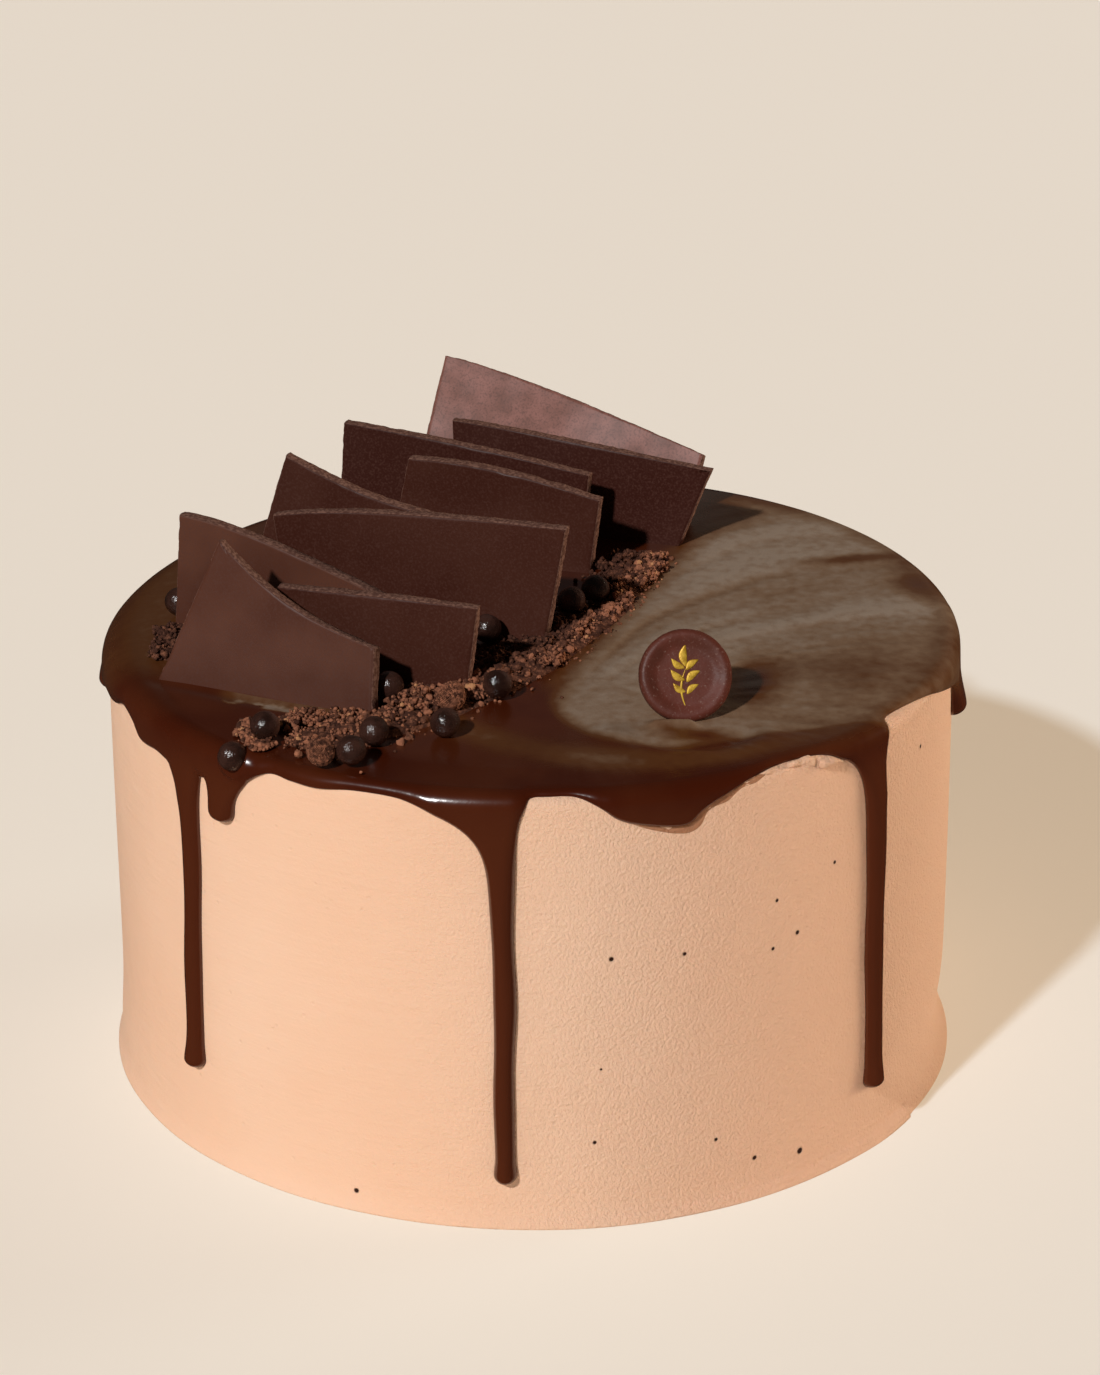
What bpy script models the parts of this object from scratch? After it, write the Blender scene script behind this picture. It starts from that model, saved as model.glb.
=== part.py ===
"""Ice cream cake: a frosted round cake under a dark chocolate glaze that runs down its side.

Nine thin chocolate shards stand in a row across the top, with a bank of cookie crumbs and
crisp chocolate pearls along their feet, and a chocolate coin stands to the right of them.
Sizes are in millimetres, and every mesh is written in metres. The origin is the middle of
the cake's underside, +Z is up, and the front faces -Y.
"""

import math
import random

import bmesh
import bpy
import numpy as np
from mathutils import Matrix, Vector
from mathutils.geometry import delaunay_2d_cdt

MM = 0.001
GAP = 0.3  # clearance between pieces that touch

CAKE_RADIUS = 81.8
CAKE_HEIGHT = 87.0
SHOULDER = 3.0  # rounding of the frosting's top edge
GLAZE_SHOULDER = 2.4  # rounding under the glaze, which lies a little off the frosting there
SKIRT_FLARE = 1.3  # how far the frosting spreads at the foot
SKIRT_HEIGHT = 5.0
SKIRT_UNDERCUT = 0.4  # by which the underside is smaller than the spread foot
TURNED_STEPS = 80

TOP_GLAZE = 1.3  # thickness of the glaze on the flat top
SIDE_GLAZE = 1.5  # and over the rim
DRIP_GLAZE = 2.3  # in a drip
BULB_GLAZE = 2.9  # in a drip's end
LIP_GLAZE = 0.3  # at the glaze's very edge
LIP_ROUND = 2.2  # from the edge to where the glaze has its full thickness
BULB_SPREAD = 4.0  # from a drip's end to where it has thinned again
MOST_GLAZE = 1.5 * BULB_GLAZE  # more than the glaze has anywhere
GLAZE_TOP = CAKE_HEIGHT + GAP + TOP_GLAZE

SHARD_THICKNESS = 2.8
SHARD_BEVEL = 0.35
PEARL_RADIUS = 2.75
COIN_RADIUS = 8.6
COIN_THICKNESS = 2.6
COIN_RIM = 0.9  # rounding of its raised rim
COIN_STEPS = 28
COIN_TURN = 4.0
COIN_LEAN = 27.0
COIN_FOOT = (28.7, -51.4)

CHOCOLATE = (0.050, 0.024, 0.017)


# ---------------------------------------------------------------------------------------
# Common steps
# ---------------------------------------------------------------------------------------


def clear_scene():
    for obj in list(bpy.data.objects):
        bpy.data.objects.remove(obj, do_unlink=True)


def new_collection(name):
    collection = bpy.data.collections.new(name)
    bpy.context.scene.collection.children.link(collection)
    return collection


def principled(name, colour, roughness):
    material = bpy.data.materials.new(name)
    material.use_nodes = True
    shader = material.node_tree.nodes["Principled BSDF"]
    shader.inputs["Base Color"].default_value = (*colour, 1.0)
    shader.inputs["Roughness"].default_value = roughness
    shader.inputs["Metallic"].default_value = 0.0
    material.diffuse_color = (*colour, 1.0)
    return material


def add_object(name, mesh, material, collection, smooth=True):
    obj = bpy.data.objects.new(name, mesh)
    collection.objects.link(obj)
    if material:
        mesh.materials.append(material)
    if smooth:
        mesh.shade_smooth()
        mesh.set_sharp_from_angle(angle=math.radians(40))
    return obj


def mesh_from_bmesh(name, bm):
    mesh = bpy.data.meshes.new(name)
    bm.to_mesh(mesh)
    bm.free()
    return mesh


def cut_flat(bm, point, normal=(0.0, 0.0, 1.0)):
    """Takes away what lies behind a plane, and closes the cut with a flat face."""
    cut = bmesh.ops.bisect_plane(
        bm,
        geom=bm.verts[:] + bm.edges[:] + bm.faces[:],
        dist=1e-7,
        plane_co=point,
        plane_no=normal,
        clear_inner=True,
    )
    rim = [item for item in cut["geom_cut"] if isinstance(item, bmesh.types.BMEdge)]
    bmesh.ops.holes_fill(bm, edges=rim, sides=0)
    bmesh.ops.recalc_face_normals(bm, faces=bm.faces)


def boolean(obj, operation, operands):
    """Joins or cuts with every object of a collection at once, and applies it."""
    modifier = obj.modifiers.new(operation.title(), "BOOLEAN")
    modifier.operation = operation
    modifier.solver = "MANIFOLD"
    modifier.operand_type = "COLLECTION"
    modifier.collection = operands
    graph = bpy.context.evaluated_depsgraph_get()
    made = bpy.data.meshes.new_from_object(obj.evaluated_get(graph))
    obj.modifiers.clear()
    obj.data = made


def remove_collection(collection):
    for obj in list(collection.objects):
        bpy.data.objects.remove(obj, do_unlink=True)
    bpy.data.collections.remove(collection)


def keep_largest_body(obj):
    """Drops loose scraps and the inner shells of sealed hollows."""
    bm = bmesh.new()
    bm.from_mesh(obj.data)
    bmesh.ops.remove_doubles(bm, verts=bm.verts, dist=1e-6)
    bmesh.ops.triangulate(bm, faces=bm.faces)
    unseen = set(bm.faces)
    bodies = []
    while unseen:
        stack = [unseen.pop()]
        body = []
        while stack:
            face = stack.pop()
            body.append(face)
            for edge in face.edges:
                for other in edge.link_faces:
                    if other in unseen:
                        unseen.remove(other)
                        stack.append(other)
        bodies.append(body)

    def volume(body):
        corners = [[v.co for v in face.verts] for face in body]
        return sum(a.dot(b.cross(c)) for a, b, c in corners)

    largest = max(bodies, key=volume)
    for body in bodies:
        if body is not largest:
            bmesh.ops.delete(bm, geom=body, context="FACES")
    bmesh.ops.delete(bm, geom=[v for v in bm.verts if not v.link_faces], context="VERTS")
    bm.to_mesh(obj.data)
    bm.free()


# ---------------------------------------------------------------------------------------
# Frosted body
# ---------------------------------------------------------------------------------------


def shoulder_arc(radius, top, rounding, steps=3):
    """The quarter round between a flat top and an upright side, as (radius, height)."""
    turns = [math.pi / 2 * k / steps for k in range(steps + 1)]
    return [
        (radius - rounding + rounding * math.sin(t), top - rounding + rounding * math.cos(t))
        for t in turns
    ]


def build_cake_body(collection):
    """A turned solid: flat top, rounded shoulder, upright side and a foot that spreads."""
    flare = [
        (CAKE_RADIUS + SKIRT_FLARE * drop**2, SKIRT_HEIGHT * (1 - drop))
        for drop in (0.0, 0.4, 0.7, 0.9)
    ]
    profile = [(0.0, CAKE_HEIGHT)]
    profile += shoulder_arc(CAKE_RADIUS, CAKE_HEIGHT, SHOULDER)
    profile += flare
    profile += [(CAKE_RADIUS + SKIRT_FLARE - SKIRT_UNDERCUT, 0.0), (0.0, 0.0)]
    mesh = bpy.data.meshes.new("cake_body")
    points = [(r * MM, 0.0, z * MM) for r, z in profile]
    mesh.from_pydata(points, [(k, k + 1) for k in range(len(points) - 1)], [])
    frosting = principled("peach_frosting", (0.82, 0.50, 0.33), 0.6)
    body = add_object("cake_body", mesh, frosting, collection, smooth=False)
    turn = body.modifiers.new("Turn", "SCREW")
    turn.steps = TURNED_STEPS
    turn.render_steps = TURNED_STEPS
    turn.use_merge_vertices = True
    turn.merge_threshold = 1e-5
    turn.use_smooth_shade = True
    return body


# ---------------------------------------------------------------------------------------
# Chocolate glaze
# ---------------------------------------------------------------------------------------

# A place on the glaze is (angle in degrees from +X, height in mm). Each drip hangs between
# two shoulders, where its flared root leaves the glaze's lower edge.
DRIPS = [
    # shoulders left and right, angles of root and tip, tip height, half widths of root and tip
    ((-194.0, 81.0), (-185.6, 80.6), -189.4, -188.7, 26.0, 2.5, 2.1),
    ((-185.2, 80.6), (-176.4, 79.3), -181.0, -180.8, 73.4, 2.9, 2.6),
    ((-144.1, 79.1), (-136.7, 79.6), -139.3, -140.3, 17.8, 2.5, 2.3),
    ((-136.5, 79.6), (-128.5, 82.3), -133.2, -133.3, 72.6, 2.8, 2.5),
    ((-102.0, 83.0), (-90.1, 86.7), -93.5, -93.4, 9.2, 2.5, 1.9),
    ((-45.4, 83.6), (-36.3, 87.3), -39.3, -38.4, 12.2, 2.9, 2.0),
    ((-12.0, 80.6), (-2.0, 81.0), -7.2, -7.0, 71.8, 2.3, 2.2),
    ((14.0, 82.5), (24.5, 83.5), 19.5, 19.0, 45.0, 2.4, 2.1),
    ((48.0, 81.0), (58.5, 82.6), 53.5, 54.5, 14.0, 2.7, 2.2),
    ((81.0, 83.0), (91.0, 82.0), 86.0, 86.5, 61.0, 2.8, 2.5),
    ((110.0, 82.0), (120.5, 83.5), 115.5, 114.8, 24.0, 2.6, 2.1),
    ((144.0, 81.5), (153.0, 80.5), 148.0, 148.5, 67.0, 2.6, 2.4),
]
# The lower edge between one drip and the next, from left to right.
EDGE = [
    [],
    [(-172.0, 78.9), (-166.9, 80.5), (-162.9, 80.8), (-158.0, 83.0), (-154.4, 81.9)]
    + [(-151.5, 79.4), (-147.0, 79.7)],
    [],
    [(-125.1, 85.3), (-121.5, 85.1), (-117.6, 84.9), (-112.9, 85.7), (-108.0, 85.7)]
    + [(-104.9, 84.9)],
    [(-87.6, 87.2), (-84.4, 87.0), (-81.5, 84.9), (-79.0, 82.2), (-75.8, 80.7)]
    + [(-70.4, 79.6), (-67.6, 82.3), (-64.0, 84.7), (-60.7, 86.2), (-55.7, 87.3)]
    + [(-50.0, 86.6)],
    [(-32.2, 87.6), (-24.3, 85.8), (-14.9, 81.8)],
    [(3.0, 82.6), (9.0, 83.2)],
    [(30.0, 84.0), (37.0, 83.2), (43.0, 81.0)],
    [(64.0, 83.4), (72.0, 82.0), (76.0, 82.6)],
    [(97.0, 83.6), (103.0, 83.2)],
    [(127.0, 83.8), (134.0, 82.4), (139.0, 80.4)],
    [(159.0, 82.4)],
]
FLARE_HEIGHT = 4.0  # over which a drip's flared root narrows to its neck
DRIP_STEP = 8.0  # between the rows of points down a drip
RING_TURN = 4.5  # degrees between the places on a ring
EDGE_STEP = 3.4  # between points on the edge from one drip to the next
LIP_WIDTH = 1.2  # from the edge to the row of points that keeps it round on the shoulder
EDGE_CLEARANCE = 0.4  # no other point lies closer to the edge
GLAZE_RADIUS = CAKE_RADIUS + GAP
SHOULDER_START = GLAZE_RADIUS - GLAZE_SHOULDER
SHOULDER_END = SHOULDER_START + GLAZE_SHOULDER * math.pi / 2
SIDE_TOP = CAKE_HEIGHT + GAP - GLAZE_SHOULDER


def reach_of(height):
    """Distance from the middle, over the top and down the side, at which a height lies."""
    return SHOULDER_END + SIDE_TOP - height


def height_of(reach):
    return SHOULDER_END + SIDE_TOP - reach


def wrap(reach, angle):
    """Lays flat polar places (reach, angle in radians) over the frosting's top and side."""
    turn = np.clip((reach - SHOULDER_START) / GLAZE_SHOULDER, 0.0, math.pi / 2)
    radius = np.minimum(reach, SHOULDER_START) + GLAZE_SHOULDER * np.sin(turn)
    drop = np.maximum(reach - SHOULDER_END, 0.0) + GLAZE_SHOULDER * (1 - np.cos(turn))
    height = CAKE_HEIGHT + GAP - drop
    return np.stack([radius * np.cos(angle), radius * np.sin(angle), height], axis=1)


def along(angle):
    """Degrees round the side as millimetres."""
    return math.radians(angle) * GLAZE_RADIUS


def drip_middle(drip, height):
    """Angle of the drip's centre line at a height, in degrees."""
    root, tip, tip_height = drip[2], drip[3], drip[4]
    share = min(max((drip[0][1] - height) / (drip[0][1] - tip_height), 0.0), 1.0)
    return root + (tip - root) * share


def drip_half_width(drip, height):
    """Half width in mm: it narrows from root to tip, swells at the end and rounds off."""
    tip_height, root_half, tip_half = drip[4:]
    share = min(max((drip[0][1] - height) / (drip[0][1] - tip_height), 0.0), 1.0)
    half = root_half + (tip_half - root_half) * share**0.5
    half *= 1 + 0.14 * math.exp(-(((height - tip_height - tip_half) / tip_half) ** 2))
    rise = min((height - tip_height) / tip_half, 1.0)
    return half * math.sqrt(max(1 - (1 - rise) ** 2, 0.0))


def drip_side(drip, height, side):
    """Place on a drip's side (-1 left, +1 right), with the flared root near its shoulder."""
    shoulder = drip[0] if side < 0 else drip[1]
    neck = math.degrees(drip_half_width(drip, height) / GLAZE_RADIUS)
    straight = drip_middle(drip, height) + side * neck
    fade = math.exp(-(shoulder[1] - height) / FLARE_HEIGHT)
    root = drip_middle(drip, shoulder[1])
    root += side * math.degrees(drip_half_width(drip, shoulder[1]) / GLAZE_RADIUS)
    return (straight + (shoulder[0] - root) * fade, height)


def drip_rows(drip):
    """Heights of the rows down a drip: close together in the flare and round the tip."""
    top = min(drip[0][1], drip[1][1])
    tip, tip_half = drip[4], drip[6]
    low = tip + min(2.2 * tip_half, 0.45 * (top - tip))
    flare = [top - FLARE_HEIGHT * k for k in (0.0, 0.35, 0.9, 1.8)]
    rows = [h for h in flare if h > low + 1.0]
    count = max(round((rows[-1] - low) / DRIP_STEP), 1)
    rows += [rows[-1] + (low - rows[-1]) * k / count for k in range(1, count + 1)]
    return rows + [tip + tip_half * k for k in (1.1, 0.5, 0.13) if tip + tip_half * k < low - 0.5]


def drip_outline(drip):
    """Down the drip's left side, round its end and up its right side."""
    rows = drip_rows(drip)
    left, right = (
        [shoulder] * (shoulder[1] > rows[0]) + [drip_side(drip, h, side) for h in rows]
        for side, shoulder in ((-1, drip[0]), (1, drip[1]))
    )
    return left + [(drip[3], drip[4])] + right[::-1]


def smooth_run(run):
    """Points on a Catmull-Rom curve between the second and the last but one of a run."""
    points = np.array(run)
    made = []
    for before, start, end, after in zip(points, points[1:], points[2:], points[3:]):
        step = end - start
        pieces = max(math.ceil(math.hypot(along(step[0]), step[1]) / EDGE_STEP), 1)
        for t in np.arange(pieces) / pieces:
            curve = 2 * start + (end - before) * t
            curve += (2 * before - 5 * start + 4 * end - after) * t**2
            curve += (3 * start - 3 * end + after - before) * t**3
            made.append(tuple(curve / 2))
    return made[1:]


def glaze_outline():
    """The glaze's lower edge once round, as (angle, height), from left to right."""
    drips = [drip_outline(drip) for drip in DRIPS]
    outline = []
    for k, (drip, edge) in enumerate(zip(drips, EDGE)):
        following = drips[(k + 1) % len(drips)][:2]
        turn = 360.0 if k + 1 == len(drips) else 0.0
        following = [(angle + turn, height) for angle, height in following]
        outline += drip + smooth_run(drip[-2:] + edge + following)
    return outline


def glaze_rings():
    """Rings of places over the shoulder and the side, 4.5 degrees apart."""
    middle = (SHOULDER_START + SHOULDER_END) / 2
    reaches = [SHOULDER_START, middle, SHOULDER_END, SHOULDER_END + 2.6, SHOULDER_END + 5.2]
    turns = np.radians(np.arange(0.0, 360.0, RING_TURN))
    return np.array([[(reach, turn) for turn in turns] for reach in reaches])


def glaze_inner_places():
    """Places over the flat top, where the ridges need them, and in rows down each drip."""
    places = [(0.0, 0.0)]
    for ring, count in ((9.0, 6), (18.0, 12), (27.0, 20), (36.0, 28), (45.0, 36)):
        places += [(ring, 2 * math.pi * (k + 0.5) / count) for k in range(count)]
    for ring in (54.0, 62.5, 71.0):
        places += [(ring, math.radians(7.5 * k)) for k in range(48)]
    for drip in DRIPS:
        for height in drip_rows(drip)[1:]:
            left, right = (drip_side(drip, height, side)[0] for side in (-1, 1))
            for share in (0.22, 0.5, 0.78):
                angle = math.radians(left + (right - left) * share)
                places.append((reach_of(height), angle))
    return np.array(places)


def lip_places(outline):
    """Places just inside the edge, where the glaze ends up on the shoulder."""
    return np.array(
        [(reach_of(h) - LIP_WIDTH, math.radians(a)) for a, h in outline if h > SIDE_TOP]
    )


def edge_distance(places, outline):
    """Distance in mm along the surface from each (reach, angle) to the outline."""
    corners = np.array([(along(a), reach_of(h)) for a, h in outline + outline[:1]])
    corners[-1, 0] += along(360)
    start, step = corners[:-1], np.diff(corners, axis=0)
    best = np.full(len(places), 1e9)
    for shift in (-360.0, 0.0, 360.0):
        spot = np.stack([places[:, 1] * GLAZE_RADIUS + along(shift), places[:, 0]], axis=1)
        offset = spot[:, None] - start
        share = (offset * step).sum(-1) / (step * step).sum(-1)
        share = np.clip(share, 0.0, 1.0)
        away = offset - share[..., None] * step
        best = np.minimum(best, np.hypot(away[..., 0], away[..., 1]).min(axis=1))
    return best


def inside_outline(places, corners):
    """Even and odd test of flat (x, y) places against a closed polygon."""
    inside = np.zeros(len(places), bool)
    for (x0, y0), (x1, y1) in zip(corners, np.roll(corners, -1, axis=0)):
        crosses = (y0 > places[:, 1]) != (y1 > places[:, 1])
        at = x0 + (places[:, 1] - y0) * (x1 - x0) / (y1 - y0 if y1 != y0 else 1.0)
        inside ^= crosses & (places[:, 0] < at)
    return inside


RIPPLE_HEIGHT = 0.32
RIPPLE_CENTRE = (-55.0, -75.0)  # the ridges fan out from here
RIPPLE_START = 70.0  # distance from there at which they begin
RIPPLES_PER_TURN = 264.0


def ripples(x, y):
    """Soft ridges that fan over the right half, where the glaze was drawn off the cake."""
    aside, ahead = x - RIPPLE_CENTRE[0], y - RIPPLE_CENTRE[1]
    out = np.hypot(aside, ahead)
    strength = np.clip((x + 0.35 * y - 4.0) / 18.0, 0.0, 1.0)
    strength *= np.clip((out - RIPPLE_START) / 40.0, 0.0, 1.0)
    waves = np.arctan2(ahead, aside) * RIPPLES_PER_TURN / (2 * math.pi)
    return RIPPLE_HEIGHT * strength * np.sin(waves + 0.8 * np.sin(out / 17.0))


def glaze_thickness(places, distance):
    """Thick in the drips and their ends, thin at the lip, with ridges on the top."""
    reach, angle = places[:, 0], places[:, 1]
    height = height_of(reach)
    thick = np.interp(reach, [CAKE_RADIUS - 12, CAKE_RADIUS], [TOP_GLAZE, SIDE_GLAZE])
    thick += (DRIP_GLAZE - SIDE_GLAZE) * np.clip((80.0 - height) / 6.0, 0.0, 1.0)
    for drip in DRIPS:
        off = np.angle(np.exp(1j * (angle - math.radians(drip[3])))) * GLAZE_RADIUS
        near = np.hypot(off, height - drip[4] - drip[6])
        thick += (BULB_GLAZE - DRIP_GLAZE) * np.exp(-((near / BULB_SPREAD) ** 2))
    rounding = np.sqrt(1 - (1 - np.clip(distance / LIP_ROUND, 0.0, 1.0)) ** 2)
    relief = ripples(reach * np.cos(angle), reach * np.sin(angle))
    relief = relief * np.clip((SHOULDER_START - reach) / 8.0, 0.0, 1.0)
    return LIP_GLAZE + (thick - LIP_GLAZE) * rounding + relief


def flatten(places):
    return places[:, :1] * np.stack([np.cos(places[:, 1]), np.sin(places[:, 1])], axis=1)


def fill_glaze(outline):
    """Triangles inside the outline, none of which cuts across a ring of the shoulder."""
    rim = np.array([(reach_of(h), math.radians(a)) for a, h in outline])
    rings = glaze_rings()
    inner = np.concatenate([rings.reshape(-1, 2), glaze_inner_places(), lip_places(outline)])
    keep = inside_outline(flatten(inner), flatten(rim))
    keep &= edge_distance(inner, outline) > EDGE_CLEARANCE
    places = np.concatenate([rim, inner[keep]])
    number = np.where(keep, len(rim) + np.cumsum(keep) - 1, -1)
    count = rings.shape[1]
    lines = [(k, (k + 1) % len(rim)) for k in range(len(rim))]
    for ring in range(3):
        ids = number[ring * count : (ring + 1) * count]
        lines += [(a, b) for a, b in zip(ids, np.roll(ids, -1)) if a >= 0 and b >= 0]
    lines = [(int(a), int(b)) for a, b in lines]
    filled = delaunay_2d_cdt([Vector(p) for p in flatten(places)], lines, [], 1, 1e-4)
    flat = np.array(filled[0])
    return np.stack([np.hypot(*flat.T), np.arctan2(flat[:, 1], flat[:, 0])], axis=1), filled[2]


def build_glaze(collection):
    """A sheet filled inside the outline, laid over the cake and thickened outwards."""
    outline = glaze_outline()
    places, faces = fill_glaze(outline)
    thickness = glaze_thickness(places, edge_distance(places, outline))

    mesh = bpy.data.meshes.new("chocolate_glaze")
    mesh.from_pydata(wrap(places[:, 0], places[:, 1]) * MM, [], faces)
    glaze = principled("dark_glaze", (0.075, 0.042, 0.028), 0.35)
    obj = add_object("chocolate_glaze", mesh, glaze, collection)
    group = obj.vertex_groups.new(name="thickness")
    for index, value in enumerate(thickness / MOST_GLAZE):
        group.add([index], float(value), "REPLACE")
    thicken = obj.modifiers.new("Thicken", "SOLIDIFY")
    thicken.thickness = MOST_GLAZE * MM
    thicken.offset = 1.0
    thicken.vertex_group = "thickness"
    return obj


# ---------------------------------------------------------------------------------------
# Chocolate shards
# ---------------------------------------------------------------------------------------

# Each shard is a thin plate snapped to four sides. Its front face stands on its foot line,
# which starts at the right foot (x, y) and runs left, turned about +Z, and the plate leans
# back. Corners are (across, up) in the plate's own plane, and the lower two lie at up = 0.
# The top edge bows by a set height, most of it at a share of the way from the left.
SHARDS = {
    # right foot, turn, lean, lower left, upper left, upper right, lower right, bow, its place
    "shard_front": ((-29, -49), -25, 16, -45.4, (-35.4, 27.6), (-1.2, 12.6), 0.0, -2.7, 0.45),
    "shard_left": ((-34, -20), -22, 4, -37.6, (-36.6, 23.0), (9.0, 11.6), 9.0, 1.7, 0.4),
    "shard_front_right": ((-13, -37), -16, 2, -37.5, (-36.0, 16.8), (3.4, 16.7), 1.2, 0.3, 0.5),
    "shard_wide": ((3, -14), -18, 2, -53.0, (-56.0, 19.4), (3.8, 23.4), -0.3, 1.6, 0.4),
    "shard_peak": ((-22, 8), -20, 2, -36.5, (-28.2, 26.4), (7.0, 17.4), 7.0, -1.6, 0.5),
    "shard_mid": ((11, 22), -18, 2, -42.0, (-37.8, 19.9), (2.7, 15.6), 0.6, 1.5, 0.45),
    "shard_mid_back": ((8, 32), -16, 4, -49.6, (-48.4, 23.2), (3.5, 17.0), 2.5, 0.6, 0.5),
    "shard_back": ((29, 37), -16, 6, -46.5, (-47.8, 21.8), (7.0, 16.2), 0.7, 0.4, 0.4),
    "shard_rear": ((28, 50), -16, 30, -55.5, (-52.5, 30.7), (5.5, 14.8), 3.5, 1.2, 0.4),
}
SHARD_ROOT = 3.0  # extra length below the foot, cut level with the glaze


def plate_matrix(foot, turn, lean):
    """Plate plane to world: across along X, up along Y, front face towards the viewer."""
    stand = Matrix.Rotation(math.radians(90.0 - lean), 4, "X")
    spin = Matrix.Rotation(math.radians(turn), 4, "Z")
    return Matrix.Translation((foot[0] * MM, foot[1] * MM, GLAZE_TOP * MM)) @ spin @ stand


def bowed_edge(left, right, bow, place, steps=6):
    """Points from right to left on an edge that bows by so much, most at the given share."""
    skew = math.log(0.5) / math.log(place)
    points = []
    for k in range(steps + 1):
        share = 1 - k / steps
        lift = bow * math.sin(math.pi * share**skew)
        x = left[0] + (right[0] - left[0]) * share
        y = left[1] + (right[1] - left[1]) * share + lift
        points.append((x, y))
    return points


def shard_outline(shape):
    """Anticlockwise from the lower left foot, with the feet carried on below the glaze."""
    lower_left, upper_left, upper_right, lower_right, bow, place = shape
    feet = [(lower_left, -SHARD_ROOT), (lower_right, -SHARD_ROOT)]
    return feet + bowed_edge(upper_left, upper_right, bow, place)


def build_shard(name, spec, material, collection):
    foot, turn, lean = spec[:3]
    bm = bmesh.new()
    corners = shard_outline(spec[3:])
    face = bm.faces.new([bm.verts.new((x * MM, y * MM, 0.0)) for x, y in corners])
    grown = bmesh.ops.extrude_face_region(bm, geom=[face])
    back = [item for item in grown["geom"] if isinstance(item, bmesh.types.BMVert)]
    bmesh.ops.translate(bm, verts=back, vec=(0.0, 0.0, -SHARD_THICKNESS * MM))
    bmesh.ops.recalc_face_normals(bm, faces=bm.faces)
    corner_lines = [edge for edge in bm.edges if edge.calc_face_angle() > math.radians(30)]
    bmesh.ops.bevel(bm, geom=corner_lines, offset=SHARD_BEVEL * MM, segments=1, affect="EDGES")
    bm.transform(plate_matrix(foot, turn, lean))
    cut_flat(bm, (0.0, 0.0, (GLAZE_TOP + GAP) * MM))
    return add_object(name, mesh_from_bmesh(name, bm), material, collection)


# ---------------------------------------------------------------------------------------
# Pearls, coated balls and the coin
# ---------------------------------------------------------------------------------------

# Plan places of the crisp pearls that lie on the glaze.
PEARLS = {
    "pearl_front_left": (-48.1, -59.6),
    "pearl_front_right": (-28.2, -62.0),
    "pearl_front_edge": (-32.0, -70.4),
    "pearl_front_far": (-15.4, -58.3),
    "pearl_bank_front": (-6.1, -40.8),
    "pearl_bank_shade": (-26.2, -41.2),
    "pearl_bank_wide": (-8.4, -13.7),
    "pearl_bank_near": (7.9, 0.4),
    "pearl_bank_far": (12.6, 6.4),
    "pearl_left": (-68.4, 0.5),
}
SUNK_PEARL_ANGLE = -130.3  # one pearl has sunk half into the glaze on the rim
SUNK_PEARL_RISE = 33.0  # and leans out this far above level
SUNK_PEARL_SHOWS = 0.4  # height of its middle above the glaze
COATED_BALLS = {
    "crumb_ball_front": (-37.4, -70.8, 2.75),
    "crumb_ball_bank": (-14.6, -46.4, 2.9),
}


def rest_height(radius):
    return GLAZE_TOP + GAP + radius


def pearl_at(centre):
    bm = bmesh.new()
    bmesh.ops.create_uvsphere(bm, u_segments=12, v_segments=8, radius=PEARL_RADIUS * MM)
    bmesh.ops.translate(bm, verts=bm.verts, vec=[c * MM for c in centre])
    return bm


def build_pearl(name, place, material, collection):
    bm = pearl_at((*place, rest_height(PEARL_RADIUS)))
    return add_object(name, mesh_from_bmesh(name, bm), material, collection)


def build_sunk_pearl(name, material, collection):
    """A pearl cut off where it meets the glaze, on the slope of the rim."""
    angle, tilt = math.radians(SUNK_PEARL_ANGLE), math.radians(SUNK_PEARL_RISE)
    aside = Vector((math.cos(angle), math.sin(angle), 0.0))
    out = aside * math.cos(tilt) + Vector((0.0, 0.0, math.sin(tilt)))
    bend = aside * SHOULDER_START + Vector((0.0, 0.0, SIDE_TOP))
    rise = GLAZE_SHOULDER + SIDE_GLAZE + GAP
    bm = pearl_at(bend + out * (rise + SUNK_PEARL_SHOWS))
    cut_flat(bm, (bend + out * rise) * MM, out)
    return add_object(name, mesh_from_bmesh(name, bm), material, collection)


def lumpy_ball(bm, centre, size, draw, facets=1, stretch=0.18):
    """Adds a crumb: a small icosphere whose corners are pulled in and out at random."""
    made = bmesh.ops.create_icosphere(bm, subdivisions=facets, radius=size)
    axis = Vector((draw.random(), 1.0, draw.random()))
    spin = Matrix.Rotation(draw.uniform(0, 2 * math.pi), 3, axis)
    for vert in made["verts"]:
        vert.co = spin @ (vert.co * (1 + draw.uniform(-stretch, stretch)))
        vert.co += Vector(centre)


def build_coated_ball(name, spec, material, collection):
    x, y, radius = spec
    draw = random.Random(name)
    bm = bmesh.new()
    lumpy_ball(bm, (x * MM, y * MM, rest_height(radius) * MM), radius * MM, draw, 2, 0.10)
    cut_flat(bm, (0.0, 0.0, (GLAZE_TOP + GAP) * MM))
    return add_object(name, mesh_from_bmesh(name, bm), material, collection)


def coin_profile():
    """Half section of the coin, from the middle of its face out and round to its back."""
    half = COIN_THICKNESS / 2
    outer = shoulder_arc(COIN_RADIUS, half, COIN_RIM, steps=4)
    dish = [(0.0, half - 0.5), (COIN_RADIUS - 2.6, half - 0.45), (COIN_RADIUS - 1.8, half - 0.1)]
    return dish + outer + [(COIN_RADIUS, -half + 0.5), (COIN_RADIUS - 0.5, -half), (0.0, -half)]


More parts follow.
